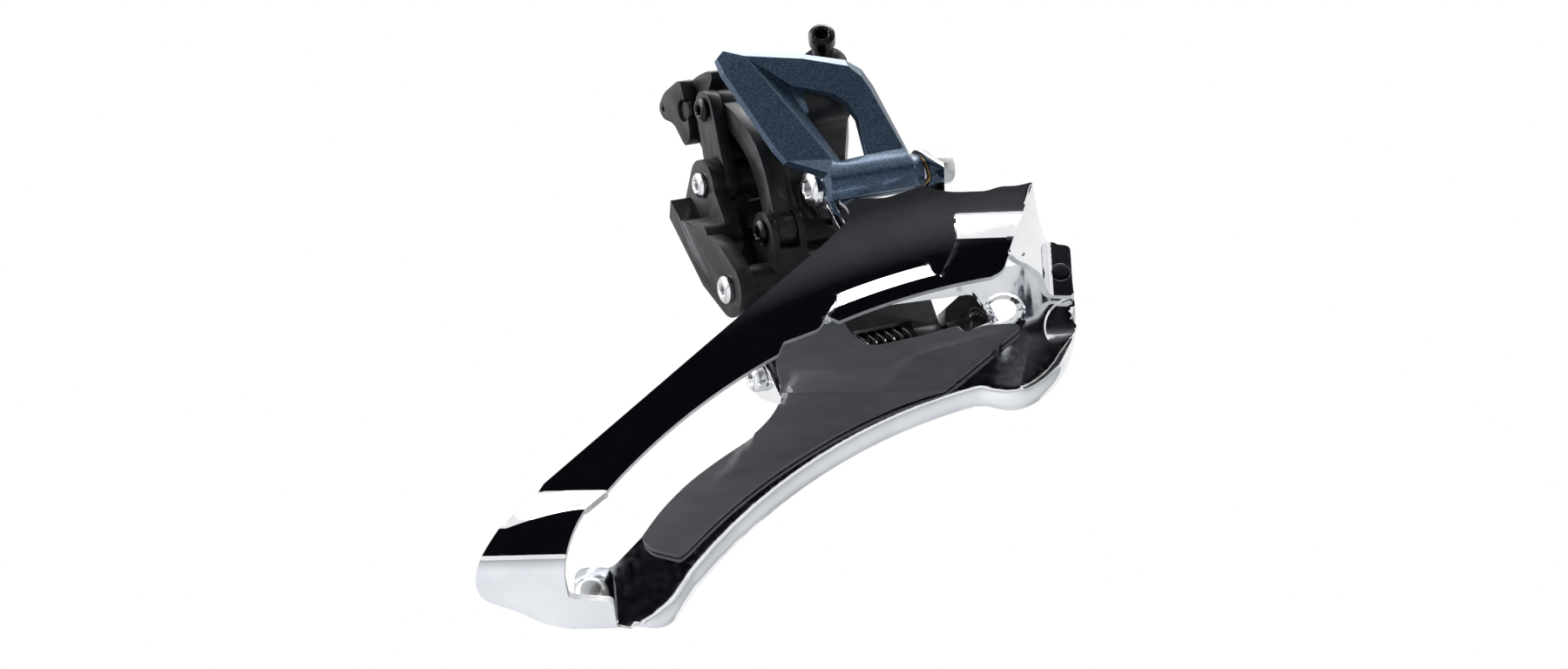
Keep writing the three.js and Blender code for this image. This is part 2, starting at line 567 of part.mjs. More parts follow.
const CREASE_Z = -71;                   // the outer plate turns outboard below this line
const outerPlateOutline = [
  [11.0, -14.9], [12.9, -18.4], [12.2, -20.8], [9.0, -24.2], [-38.7, -69.6], [-38.7, CREASE_Z],
  [-28.0, CREASE_Z], ...ringArc(OUTER_EDGE_RADIUS, -28.0, 37.5, 9), [39.6, -31.4], [40.4, -28.4],
  [60, -31.0], [60, -19.0], [49.4, -17.0], [45.3, -12.6], [38.6, -13.2], [26.0, -13.7], [18.0, -14.9],
];

function addOuterPlate() {
  // plan view of the flat side, the turned nose and the flange on the inner plate
  const plan = [
    [-44, OUTER_FACE], [42.4, OUTER_FACE], [44.6, OUTER_FACE + 1.2], [46.4, OUTER_FACE + 4.2],
    [47.3, INNER_FACE - 3.6], [47.9, OVERLAP_FACE], [52.0, OVERLAP_FACE],
  ];
  const side = prism(sheetOutline(plan, SHEET), -100, 0)
    .intersect(prismAlongY(outerPlateOutline, -60, 20));
  // end view of the tail: a step outboard, then a turn inboard under the chain
  const step = OUTER_FACE - TAIL_FLARE;
  const end = [
    [OUTER_FACE, CREASE_Z + 1], [OUTER_FACE, CREASE_Z], [step, CREASE_Z - 5], [step, -84.6],
    [step + 1.0, -87.0], [step + 3.2, -88.0], [INNER_FACE + 3.0, -92.0],
  ];
  const tail = prismAlongX(sheetOutline(end, SHEET), -50, -20)
    .intersect(prismAlongY([
      [-38.7, -69.4], [-42.6, -75.8], [-47.4, -82.0], [-49.2, -88.0], [-49.2, -97], [-27.0, -97],
      [-27.0, -89.2], [-34.4, -88.8], [-33.6, -81.0], [-29.6, -73.6], [-28.0, -71.0], [-28.0, -69.4],
    ], -60, 20))
    .intersect(prism([
      [-60, -60], [0, -60], [0, INNER_FACE - GAP], [-38.6, INNER_FACE - GAP], [-41.5, -17.6],
      [-47.6, -21.0], [-49.2, -25.0],
    ], -100, 0));
  const flap = prismAlongY([
    [-34.4, -90.2], [-34.4, -80.4], [-28.6, -80.4], [-28.0, -90.2],
  ], OVERLAP_FACE, INNER_FACE - GAP);
  // lugs for the outer link's lower pin
  const rearLug = moved(prism([
    ...arcPoints(PIVOT_CAGE_OUTER, 4.0, -20, 160, 8), [-21.0, -14.0], [-21.2, -26.0], [-17.0, -24.5],
  ], ...CAGE_LUG_REAR), linkageFrame);
  const frontLug = moved(prism([
    ...arcPoints(PIVOT_CAGE_OUTER, 4.0, -50, 150, 8), [-28.0, -24.5], [-28.6, -27.6], [-22.0, -25.0],
  ], ...CAGE_LUG_FRONT), linkageFrame);
  addPiece(assembly, 'outer_plate', cut(
    join(side, tail, flap, inboardOf(OUTER_FACE, rearLug), inboardOf(OUTER_FACE, frontLug)),
    moved(bore(PIVOT_CAGE_OUTER, PIN_OUTER_RADIUS), linkageFrame),
    boreAlongY(TAIL_RIVET, RIVET_RADIUS),
    boreAlongY(NOSE_RIVET, RIVET_RADIUS),
  ), CHROME);
}

const innerLowerEdge = ringArc(INNER_EDGE_RADIUS[0], 35.0, -14.0, 8, INNER_EDGE_RADIUS[1]);
const innerPlateOutline = [
  [49.0, -17.4], [51.9, -20.6], [52.3, -36.6], [50.4, -42.3], [46.6, -47.2], [41.4, -50.4],
  ...innerLowerEdge, [-18.0, -88.6], [-22.4, -90.6], [-28.6, -90.2],
  [-34.4, -88.0], [-34.4, -80.2], [-28.2, -79.6], [-23.0, -73.6], [-15.4, -64.6], [-9.8, -60.1],
  [-4.2, -56.2], [-0.6, -52.4], [1.5, -47.8], [-1.9, -39.6], [1.0, -36.4],
  [6.0, -31.0], [10.0, -25.4], [14.0, -23.0], [42.0, -22.6],
];
const innerWindow = [
  [12.2, -30.0], [12.4, -33.6], [14.0, -36.8], [16.6, -38.2], [25.4, -36.3], [31.6, -34.4],
  [32.6, -36.0], [35.6, -34.6], [36.4, -32.0], [34.4, -27.4],
];

function addInnerPlate() {
  const plate = cut(
    prismAlongY(innerPlateOutline, INNER_FACE, INNER_FACE + SHEET),
    prismAlongY(innerWindow, -40, 20),
  );
  const raised = ringArc(INNER_EDGE_RADIUS[0] + SHEET, 35.0, -14.0, 8, INNER_EDGE_RADIUS[1] + SHEET);
  const flange = prismAlongY(
    [...innerLowerEdge, ...raised.reverse()], INNER_FACE + 0.2, INNER_FACE + SHEET + FLANGE_DEPTH,
  );
  const rearEar = moved(prism([
    ...arcPoints(PIVOT_CAGE_INNER, 4.2, -40, 120, 8), [-1.2, -35.0], [-1.2, -46.6], [0.8, -45.6],
  ], ...CAGE_EAR_REAR), linkageFrame);
  const frontEar = moved(prism([
    ...arcPoints(PIVOT_CAGE_INNER, 4.2, -80, 110, 8), [-15.4, -37.6], [-15.4, -46.4], [-9.0, -44.0],
  ], ...CAGE_EAR_FRONT), linkageFrame);
  addPiece(assembly, 'inner_plate', cut(
    join(plate, flange, inboardOf(INNER_FACE, rearEar), inboardOf(INNER_FACE, frontEar)),
    moved(bore(PIVOT_CAGE_INNER, PIN_INNER_RADIUS), linkageFrame),
    boreAlongY(TAIL_RIVET, RIVET_RADIUS),
    boreAlongY(NOSE_RIVET, RIVET_RADIUS),
    ...SKID_STUDS.map((place) => boreAlongY(place, STUD_RADIUS)),
  ), CHROME);
}

const skidOutline = [
  [-20.1, -69.8], [-15.4, -64.6], [-9.8, -60.1], [-4.3, -56.3], [-0.8, -52.5], [0.8, -48.6],
  [-0.9, -40.0], [1.6, -37.0], [6.6, -31.8], [10.2, -28.0], [11.4, -30.4], [11.5, -34.0],
  [13.4, -37.5], [16.4, -39.0], [25.2, -37.1], [31.4, -35.3], [32.5, -36.8], [36.0, -35.4], [40.6, -35.6],
  [41.0, -39.0], ...ringArc(SKID_EDGE_RADIUS, 30.0, -15.6, 7), [-16.6, -78.4], [-21.6, -77.0],
  [-23.4, -75.0],
];

function addSkid() {
  const back = INNER_FACE - GAP;
  addPiece(assembly, 'skid_plate', join(
    prismAlongY(skidOutline, back - SKID_THICKNESS, back),
    ...SKID_STUDS.map((place) => rodAlongY(place, STUD_RADIUS, back - 0.2, INNER_FACE + SHEET + 0.8)),
  ), RESIN);
}

const FASTENER_GAP = 0.1;               // under a head
function addCageFasteners() {
  const rivet = (place, headRadius, headHeight) => {
    const front = OVERLAP_FACE - FASTENER_GAP;
    const back = INNER_FACE + SHEET + FASTENER_GAP;
    return join(
      rodAlongY(place, RIVET_RADIUS, front - LAP, back + LAP),
      rodAlongY(place, headRadius, front - headHeight, front, FINE_FACETS),
      rodAlongY(place, 2.2, back, back + 0.9),
    );
  };
  addPiece(assembly, 'tail_rivet', rivet(TAIL_RIVET, 2.5, 1.9), STEEL);
  addPiece(assembly, 'nose_rivet', rivet(NOSE_RIVET, 1.9, 0.3), CHROME);
  addPiece(linkage, 'outer_pivot_screw', cut(
    join(
      rod(PIVOT_CAGE_OUTER, 3.1, -6.2, CAGE_LUG_REAR[0] - FASTENER_GAP, FINE_FACETS),
      rod(PIVOT_CAGE_OUTER, PIN_OUTER_RADIUS, -5, CAGE_LUG_FRONT[1] + 3.8),
    ),
    hexAlongZ(PIVOT_CAGE_OUTER, 2.5, -8, -4.6),
  ), CHROME);
  // a blind nut, round outside
  addPiece(linkage, 'outer_pivot_nut', cut(
    rod(PIVOT_CAGE_OUTER, 3.0, CAGE_LUG_FRONT[1] + FASTENER_GAP, CAGE_LUG_FRONT[1] + 5.0, FINE_FACETS),
    bore(PIVOT_CAGE_OUTER, PIN_OUTER_RADIUS, 0, CAGE_LUG_FRONT[1] + 4.2),
  ), STEEL);
  addPiece(linkage, 'inner_pivot_screw', cut(
    join(
      rod(PIVOT_CAGE_INNER, 2.6, -21.8, CAGE_EAR_REAR[0] - FASTENER_GAP, FINE_FACETS),
      rod(PIVOT_CAGE_INNER, PIN_INNER_RADIUS, -21, CAGE_EAR_FRONT[1] + 1.2),
    ),
    hexAlongZ(PIVOT_CAGE_INNER, 2, -24, -20.9),
  ), CHROME);
}

// ---------------------------------------------------------------- return spring
const SPRING_TURNS = 6;
const SPRING_WIRE_RADIUS = 0.65;
const SPRING_COIL_RADIUS = 3.6;
const RUNS_PER_TURN = 14;
function addSpring() {
  const [rearEnd, frontEnd] = [SPRING_SPAN[0] + SPRING_WIRE_RADIUS, SPRING_SPAN[1] - SPRING_WIRE_RADIUS];
  class Coil extends THREE.Curve {
    getPoint(t) {
      const angle = t * SPRING_TURNS * Math.PI * 2;
      return new THREE.Vector3(
        PIVOT_CAGE_INNER[0] + SPRING_COIL_RADIUS * Math.cos(angle),
        PIVOT_CAGE_INNER[1] + SPRING_COIL_RADIUS * Math.sin(angle),
        rearEnd + t * (frontEnd - rearEnd),
      );
    }
  }
  const section = new THREE.Shape();
  section.absarc(0, 0, SPRING_WIRE_RADIUS, 0, Math.PI * 2);
  const geometry = new THREE.ExtrudeGeometry(section, {
    steps: SPRING_TURNS * RUNS_PER_TURN, curveSegments: 3, extrudePath: new Coil(), bevelEnabled: false,
  });
  addPiece(linkage, 'return_spring', toSolid(geometry), BLACK_STEEL);
}

addBase();
addOuterLink();
addInnerLink();
addToggleTrain();
addOuterPlate();
addInnerPlate();
addSkid();
addCageFasteners();
addSpring();

export default assembly;
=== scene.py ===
import json
import math

import bmesh
import bpy
from mathutils import Matrix, Vector, geometry


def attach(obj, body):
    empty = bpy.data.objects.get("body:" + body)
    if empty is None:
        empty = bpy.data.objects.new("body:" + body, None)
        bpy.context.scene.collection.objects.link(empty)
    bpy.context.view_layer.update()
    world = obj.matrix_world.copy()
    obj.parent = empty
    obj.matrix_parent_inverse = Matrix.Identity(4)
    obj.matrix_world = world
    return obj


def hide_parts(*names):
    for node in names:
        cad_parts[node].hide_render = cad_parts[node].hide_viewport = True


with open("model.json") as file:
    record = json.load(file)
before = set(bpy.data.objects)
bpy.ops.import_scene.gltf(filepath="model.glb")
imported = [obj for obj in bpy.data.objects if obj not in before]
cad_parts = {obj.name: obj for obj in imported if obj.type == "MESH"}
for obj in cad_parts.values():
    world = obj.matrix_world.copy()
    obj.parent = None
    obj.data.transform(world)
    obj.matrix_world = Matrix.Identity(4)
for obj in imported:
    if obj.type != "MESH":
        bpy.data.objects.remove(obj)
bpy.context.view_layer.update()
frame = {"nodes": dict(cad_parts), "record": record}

MM = 0.001

# ---------------------------------------------------------------- driving dimensions, in millimetres
SHEET = 1.2
OUTER_FACE = -25.0
INNER_FACE = -13.0
GAP = 0.3
RING_CENTRE = Vector((53.9, -135.5))
OUTER_EDGE_RADIUS = 104.3

PIN_YAW, PIN_PITCH, PIN_ROLL = (math.radians(a) for a in (22.5, 21.5, 9.5))
PIVOT_INNER = (-1.0, -20.2)
PIVOT_CAGE_INNER = (3.9, -36.5)
PIVOT_CAGE_OUTER = (-17.2, -13.2)
PIVOT_OUTER = (-22.1, 3.1)
PIVOT_ARM = (-2.4, 2.7)
PIVOT_TOGGLE_TOP = (-10.0, 14.0)
PIVOT_TOGGLE_LOW = (-7.0, -13.3)


def linkage_frame():
    """The frame of the linkage: x inboard, y up, z forward along the pins."""
    axis = Vector((
        math.cos(PIN_YAW) * math.cos(PIN_PITCH), math.sin(PIN_YAW) * math.cos(PIN_PITCH), math.sin(PIN_PITCH),
    ))
    level = Vector((-math.sin(PIN_YAW), math.cos(PIN_YAW), 0))
    steep = -level.cross(axis)
    inboard = level * math.cos(PIN_ROLL) - steep * math.sin(PIN_ROLL)
    upward = axis.cross(inboard)
    turn = Matrix((inboard, upward, axis)).transposed()
    return Matrix.Translation((0, -5, 0)) @ turn.to_4x4()


LINKAGE = linkage_frame()
ALONG_Y = Matrix(((1, 0, 0, 0), (0, 0, 1, 0), (0, 1, 0, 0), (0, 0, 0, 1)))   # local z runs along +Y


# ---------------------------------------------------------------- materials
def shader(name, color, metallic, roughness):
    mat = bpy.data.materials.new(name)
    mat.use_nodes = True
    bsdf = mat.node_tree.nodes["Principled BSDF"]
    bsdf.inputs["Base Color"].default_value = (*color, 1)
    bsdf.inputs["Metallic"].default_value = metallic
    bsdf.inputs["Roughness"].default_value = roughness
    return mat, mat.node_tree, bsdf


def position(tree, scale=(1, 1, 1), turn=(0, 0, 0)):
    coords = tree.nodes.new("ShaderNodeTexCoord")
    mapping = tree.nodes.new("ShaderNodeMapping")
    mapping.inputs["Scale"].default_value = [s / MM for s in scale]
    mapping.inputs["Rotation"].default_value = turn
    tree.links.new(coords.outputs["Object"], mapping.inputs["Vector"])
    return mapping.outputs["Vector"]


def grain(tree, vector, scale, detail=2.0, rough=0.5):
    node = tree.nodes.new("ShaderNodeTexNoise")
    node.inputs["Scale"].default_value = scale
    node.inputs["Detail"].default_value = detail
    node.inputs["Roughness"].default_value = rough
    tree.links.new(vector, node.inputs["Vector"])
    return node.outputs["Fac"]


def spread(tree, value, low, high, from_low=0.3, from_high=0.7):
    node = tree.nodes.new("ShaderNodeMapRange")
    for socket, number in zip(("From Min", "From Max", "To Min", "To Max"), (from_low, from_high, low, high)):
        node.inputs[socket].default_value = number
    tree.links.new(value, node.inputs["Value"])
    return node.outputs["Result"]


def tint(tree, value, low, high, from_low=0.3, from_high=0.7):
    node = tree.nodes.new("ShaderNodeValToRGB")
    node.color_ramp.elements[0].position = from_low
    node.color_ramp.elements[1].position = from_high
    node.color_ramp.elements[0].color = (*low, 1)
    node.color_ramp.elements[1].color = (*high, 1)
    tree.links.new(value, node.inputs["Fac"])
    return node.outputs["Color"]


def relief(tree, bsdf, *layers):
    """Bump layers of (height value, distance in millimetres, strength)."""
    normal = None
    for value, distance, strength in layers:
        node = tree.nodes.new("ShaderNodeBump")
        node.inputs["Distance"].default_value = distance * MM
        node.inputs["Strength"].default_value = strength
        tree.links.new(value, node.inputs["Height"])
        if normal:
            tree.links.new(normal, node.inputs["Normal"])
        normal = node.outputs["Normal"]
    tree.links.new(normal, bsdf.inputs["Normal"])


def chrome(name, peel=0.25, brush=0.0, rough=(0.035, 0.09)):
    """Plated sheet: faint polishing waves, and brushing where asked."""
    mat, tree, bsdf = shader(name, (0.80, 0.81, 0.83), 1.0, 0.06)
    waves = grain(tree, position(tree), 0.9, 3.0, 0.55)
    lines = grain(tree, position(tree, (9, 9, 0.35), (0, 0.6, 0)), 1.0, 2.0)
    tree.links.new(spread(tree, waves, *rough), bsdf.inputs["Roughness"])
    tree.links.new(tint(tree, grain(tree, position(tree), 0.12), (0.76, 0.77, 0.79), (0.86, 0.87, 0.885)),
                   bsdf.inputs["Base Color"])
    relief(tree, bsdf, (waves, 0.02, peel), (lines, 0.01, brush + 0.05))
    return mat


def brushed_steel(name, color=(0.62, 0.63, 0.64), rough=(0.22, 0.36)):
    mat, tree, bsdf = shader(name, color, 1.0, 0.3)
    lines = grain(tree, position(tree, (12, 12, 0.5)), 1.0, 2.0)
    tree.links.new(spread(tree, lines, *rough), bsdf.inputs["Roughness"])
    tone = [c * 0.82 for c in color]
    tree.links.new(tint(tree, grain(tree, position(tree), 0.5, 3.0), tone, color), bsdf.inputs["Base Color"])
    relief(tree, bsdf, (lines, 0.02, 0.25))
    return mat


def anodised(name, color, rough, metallic=0.55, texture=0.25):
    """Blasted and anodised alloy, or blackened steel: a fine even grain with slightly rubbed patches."""
    mat, tree, bsdf = shader(name, color, metallic, rough[0])
    bsdf.inputs["Specular IOR Level"].default_value = 0.3
    blast = grain(tree, position(tree), 7.0, 2.0)
    patches = grain(tree, position(tree), 0.35, 3.0)
    tree.links.new(spread(tree, patches, *rough), bsdf.inputs["Roughness"])
    tree.links.new(tint(tree, patches, color, [c * 1.5 for c in color]), bsdf.inputs["Base Color"])
    relief(tree, bsdf, (blast, 0.03, texture))
    return mat


def metallic_paint(name):
    """Blue-grey paint with fine bright flake under a clear coat."""
    mat, tree, bsdf = shader(name, (0.075, 0.125, 0.20), 0.75, 0.34)
    flake = tree.nodes.new("ShaderNodeTexVoronoi")
    flake.inputs["Scale"].default_value = 7.0
    tree.links.new(position(tree), flake.inputs["Vector"])
    split = tree.nodes.new("ShaderNodeSeparateColor")
    tree.links.new(flake.outputs["Color"], split.inputs["Color"])
    tree.links.new(tint(tree, split.outputs["Red"], (0.022, 0.043, 0.076), (0.085, 0.130, 0.195), 0.25, 1.0),
                   bsdf.inputs["Base Color"])
    tree.links.new(spread(tree, split.outputs["Green"], 0.26, 0.42, 0, 1), bsdf.inputs["Roughness"])
    relief(tree, bsdf, (split.outputs["Blue"], 0.02, 0.12))
    bsdf.inputs["Coat Weight"].default_value = 0.25
    bsdf.inputs["Coat Roughness"].default_value = 0.12
    return mat


def moulded(name, color, rough):
    """Glass-filled resin: matt, with a fine stipple and faint flow marks."""
    mat, tree, bsdf = shader(name, color, 0.0, rough[0])
    stipple = grain(tree, position(tree), 4.0, 3.0)
    flow = grain(tree, position(tree, (0.15, 0.15, 0.5), (0, 0.7, 0)), 1.0, 3.0)
    tree.links.new(spread(tree, stipple, *rough), bsdf.inputs["Roughness"])
    tree.links.new(tint(tree, flow, color, [c * 1.35 for c in color]), bsdf.inputs["Base Color"])
    relief(tree, bsdf, (stipple, 0.03, 0.3))
    return mat


sheared = brushed_steel("sheared_edge", (0.80, 0.81, 0.82), (0.38, 0.55))
LOOKS_EXTRA = {"chrome_peel": chrome("chrome_peel", peel=0.45, brush=0.05, rough=(0.06, 0.16))}
LOOKS = {
    "chrome": chrome("chrome_plate"),
    "black_alloy": anodised("black_anodised_alloy", (0.0135, 0.014, 0.0155), (0.34, 0.46)),
    "black_steel": anodised("blackened_steel", (0.012, 0.012, 0.013), (0.2, 0.32), 0.85, 0.12),
    "steel": brushed_steel("zinc_plated_steel"),
    "bright_steel": brushed_steel("polished_pin_steel", (0.74, 0.74, 0.75), (0.12, 0.24)),
    "bronze": brushed_steel("bronze_bush", (0.45, 0.32, 0.14), (0.25, 0.4)),
    "blue_grey_paint": metallic_paint("blue_grey_metallic"),
    "resin": moulded("dark_grey_resin", (0.040, 0.042, 0.046), (0.42, 0.58)),
}


# ---------------------------------------------------------------- which body and which finish each node has
node_bodies = {
    node: body for body, nodes in frame["record"]["behaviour"]["bodies"].items() for node in nodes
}
node_slots = {part["node"]: part["material_slot"] for part in frame["record"]["subparts"]}


# ---------------------------------------------------------------- mesh helpers
def finish_piece(mesh, name, node, look=None):
    """Puts a finished mesh into the scene in place of its CAD node."""
    piece = bpy.data.objects.new(name, mesh)
    bpy.context.scene.collection.objects.link(piece)
    slot = node_slots[node]
    mesh.materials.clear()
    mesh.materials.append(look or LOOKS[slot])
    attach(piece, node_bodies[node])
    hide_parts(node)
    return piece


def soften(piece, width, segments=2, angle=32):
    """Rounds the edges of a piece, and shades the rest smooth."""
    for polygon in piece.data.polygons:
        polygon.use_smooth = True
    bevel = piece.modifiers.new("rounded_edges", "BEVEL")
    bevel.width = width * MM
    bevel.segments = segments
    bevel.limit_method = "ANGLE"
    bevel.angle_limit = math.radians(angle)
    bevel.harden_normals = True
    bevel.miter_outer = "MITER_ARC"
    return piece


def solid_mesh(node):
    """A copy of a CAD node's mesh in the row frame, with flat areas made whole again."""
    mesh = frame["nodes"][node].data.copy()
    bm = bmesh.new()
    bm.from_mesh(mesh)
    bmesh.ops.remove_doubles(bm, verts=bm.verts, dist=0.002 * MM)
    bmesh.ops.dissolve_limit(bm, angle_limit=math.radians(0.6), verts=bm.verts, edges=bm.edges)
    bm.to_mesh(mesh)
    bm.free()
    return mesh


def refined(node, width, segments=2, look=None, angle=32):
    return soften(finish_piece(solid_mesh(node), f"{node}_shape", node, look), width, segments, angle)


# ---------------------------------------------------------------- pressed sheet
def inside(point, polygon):
    x, y = point
    hit = False
    for (ax, ay), (bx, by) in zip(polygon, polygon[1:] + polygon[:1]):
        if (ay > y) != (by > y) and x < (bx - ax) * (y - ay) / (by - ay) + ax:
            hit = not hit
    return hit


def rounded(points, radius, steps=5):
    """The outline with each corner replaced by a curve; a corner may carry its own radius."""
    out = []
    count = len(points)
    for i, corner in enumerate(points):
        here = Vector(corner[:2])
        reach = corner[2] if len(corner) > 2 else radius
        if not reach:
            out.append(tuple(here))
            continue
        before, after = Vector(points[i - 1][:2]), Vector(points[(i + 1) % count][:2])
        cut_in = min(reach, (before - here).length * 0.48)
        cut_out = min(reach, (after - here).length * 0.48)
        start = here + (before - here).normalized() * cut_in
        end = here + (after - here).normalized() * cut_out
        for k in range(steps + 1):
            t = k / steps
            out.append(tuple(start * (1 - t) ** 2 + here * (2 * t * (1 - t)) + end * t ** 2))
    return out


def plain(points):
    """The same points, marked as corners that stay as they are."""
    return [(x, z, 0) for x, z in points]


def sampled(points, spacing, closed=True):
    """Points along an outline, no further apart than the spacing."""
    out = []
    ends = points[1:] + points[:1] if closed else points[1:]
    for (ax, ay), (bx, by) in zip(points, ends):
        steps = max(1, math.ceil(math.hypot(bx - ax, by - ay) / spacing))
        out += [(ax + (bx - ax) * k / steps, ay + (by - ay) * k / steps) for k in range(steps)]
    if not closed:
        out.append(points[-1])
    return out


def near(point, loops, distance):
    return any((point[0] - x) ** 2 + (point[1] - y) ** 2 < distance ** 2 for loop in loops for x, y in loop)


def flat_mesh(outline, holes, spacing, creases=()):
    """Triangles that fill an outline less its holes. Creases are lines that triangles keep to."""
    loops = [sampled(loop, spacing) for loop in [outline, *holes]]
    lines = [sampled(line, spacing, closed=False) for line in creases]
    points, edges = [], []
    for loop in loops:
        base = len(points)
        points += loop
        edges += [(base + i, base + (i + 1) % len(loop)) for i in range(len(loop))]
    for line in lines:
        base = len(points)
        points += line
        edges += [(base + i, base + i + 1) for i in range(len(line) - 1)]
    xs, ys = [p[0] for p in loops[0]], [p[1] for p in loops[0]]
    row = spacing * math.sqrt(3) / 2
    fixed = points[:]
    grid = {}
    for x, y in fixed:
        grid.setdefault((int(x // spacing), int(y // spacing)), []).append((x, y))
    for j in range(int((max(ys) - min(ys)) / row) + 1):
        for i in range(int((max(xs) - min(xs)) / spacing) + 1):
            spot = (min(xs) + (i + 0.5 * (j % 2)) * spacing, min(ys) + j * row)
            cell = (int(spot[0] // spacing), int(spot[1] // spacing))
            crowd = [p for dx in (-1, 0, 1) for dy in (-1, 0, 1)
                     for p in grid.get((cell[0] + dx, cell[1] + dy), [])]
            if near(spot, [crowd], spacing * 0.55):
                continue
            if inside(spot, loops[0]) and not any(inside(spot, hole) for hole in loops[1:]):
                points.append(spot)
    walls = sum(len(loop) for loop in loops)
    verts, pairs, faces, _, origins, _ = geometry.delaunay_2d_cdt([Vector(p) for p in points], edges, [],
        0, 1e-5)
    folds = {frozenset(pair) for pair, origin in zip(pairs, origins) if origin and max(origin) >= walls}
    kept = []
    for face in faces:
        middle = sum((verts[i] for i in face), Vector((0, 0))) / len(face)
        if inside(middle, loops[0]) and not any(inside(middle, hole) for hole in loops[1:]):
            kept.append(face)
    return verts, kept, folds


def pressed(node, outline, holes, place, thickness, spacing, creases=(), look=None, rim=0.22, side=1.0):
    """Sheet metal: a flat blank with holes, whose every point is put in place by a function."""
    verts, faces, folds = flat_mesh(outline, holes, spacing, creases)
    mesh = bpy.data.meshes.new(f"{node}_sheet")
    mesh.from_pydata([Vector(place(*v)) * MM for v in verts], [], faces)
    bm = bmesh.new()
    bm.from_mesh(mesh)
    for edge in bm.edges:
        if frozenset(v.index for v in edge.verts) in folds:
            edge.smooth = False
    bmesh.ops.delete(bm, geom=[v for v in bm.verts if not v.link_faces], context="VERTS")
    bmesh.ops.recalc_face_normals(bm, faces=bm.faces)
    if sum(f.normal.y * f.calc_area() for f in bm.faces) > 0:
        bmesh.ops.reverse_faces(bm, faces=bm.faces)
    bm.to_mesh(mesh)
    bm.free()
    piece = finish_piece(mesh, f"{node}_sheet", node, look)
    wall = piece.modifiers.new("thickness", "SOLIDIFY")
    wall.thickness = thickness * MM
    wall.offset = -side
    mesh.materials.append(RIM_LOOKS[node])
    wall.material_offset_rim = 1
    return soften(piece, rim, 3, 55)


def ramp(value, low, high):
    """0 below low, 1 above high, and smooth between."""
    t = min(1.0, max(0.0, (value - low) / (high - low)))
    return t * t * (3 - 2 * t)


def walk(path, distance):
    """The point that far along a path of straight runs."""
    for a, b in zip(path, path[1:]):
        run = math.dist(a, b)
        if distance <= run or b == path[-1]:
            t = distance / run
            return tuple(p + (q - p) * t for p, q in zip(a, b))
        distance -= run


def softened_path(path, radius, steps=6):
    """A path whose corners are curves, for bent sheet."""
    out = [path[0]]
    for a, b, c in zip(path, path[1:], path[2:]):
        here, before, after = Vector(b), Vector(a), Vector(c)
        start = here + (before - here).normalized() * min(radius, (before - here).length * 0.48)
        end = here + (after - here).normalized() * min(radius, (after - here).length * 0.48)
        out += [tuple(start * (1 - t) ** 2 + here * (2 * t * (1 - t)) + end * t ** 2)
                for t in (k / steps for k in range(steps + 1))]
    return [*out, path[-1]]


def path_length(path):
    return sum(math.dist(a, b) for a, b in zip(path, path[1:]))


def ring_arc(radius, from_x, to_x, count, end_radius=None):
    end_radius = end_radius or radius
    out = []
    for i in range(count + 1):
        x = from_x + (to_x - from_x) * i / count
        here = radius + (end_radius - radius) * i / count
        out.append((x, RING_CENTRE.y + math.sqrt(here ** 2 - (x - RING_CENTRE.x) ** 2)))
    return out


RIM_LOOKS = {"outer_plate": sheared, "inner_plate": LOOKS["chrome"], "skid_plate": LOOKS["resin"]}


# ---------------------------------------------------------------- outer plate
NOSE_BEND = [(-12.0, 45.6), (-17.0, 44.0), (-23.6, 41.9), (-27.5, 40.6), (-34.0, 40.2)]      # Z, X
NOSE_END = 58.3                 # where the flat blank ends, past the nose


def table_value(table, key):
    """Straight runs between the rows of a table whose keys fall."""
    for (k0, v0), (k1, v1) in zip(table, table[1:]):
        if key >= k1:
            return v0 + (v1 - v0) * min(1.0, max(0.0, (key - k0) / (k1 - k0)))
    return table[-1][1]


def nose_path(start):
    """Plan view of the nose, from the bend that starts it to the lap over the inner plate."""
    return softened_path([
        (start, OUTER_FACE), (start + (46.4 - start) * 0.55, OUTER_FACE + 1.6), (46.4, OUTER_FACE + 4.6),
        (47.3, INNER_FACE - 3.6), (47.9, INNER_FACE - GAP - SHEET), (52.0, INNER_FACE - GAP - SHEET),
    ], 0.8)


TAIL_CREASE_Z = -71.0
TAIL_STEP = OUTER_FACE - 3.5
TAIL_LEAN = 5.0                 # height of the leaning facet at the tail's front edge
TAIL_TURN_Z = -84.6
TAIL_PATH = softened_path([
    (OUTER_FACE, TAIL_CREASE_Z), (TAIL_STEP, TAIL_CREASE_Z - TAIL_LEAN), (TAIL_STEP, TAIL_TURN_Z),
    (TAIL_STEP + 1.0, -87.0),
    (TAIL_STEP + 3.2, -88.0), (INNER_FACE - GAP, -91.2), (INNER_FACE - GAP, -80.2),
], 0.9)


PROUD = 1.2                     # height of the strip along the lower edge and of the lip near the nose
STEEP = 0.3                     # width of a step that is pressed sharp
STRIP_TOP, STRIP_FOOT = 2.6, 5.5        # distances from the lower edge: level below, leaning between
STRIP_REAR = ((10.6, -35.4), (8.0, -40.2))
STRIP_FRONT = ((26.2, -28.7), (27.6, -31.9))
LIP_CORNER, LIP_REAR = (31.4, -24.8), (28.9, -30.6)     # the lip's rear edge runs through both
LIP_LEAN = 6.0


def clamp01(value):
    return min(1.0, max(0.0, value))


def tail_lean(x):
    """Height of the tail's leaning facet, which grows towards the rear."""
    return TAIL_LEAN + 3.2 * clamp01((-31.0 - x) / 13.0) ** 1.6


def ahead_of(top, foot, u, v):
    """How far a point lies forward of the line through two others."""
    across, down = foot[0] - top[0], top[1] - foot[1]
    return ((u - top[0]) * down + (v - top[1]) * across) / math.hypot(across, down)


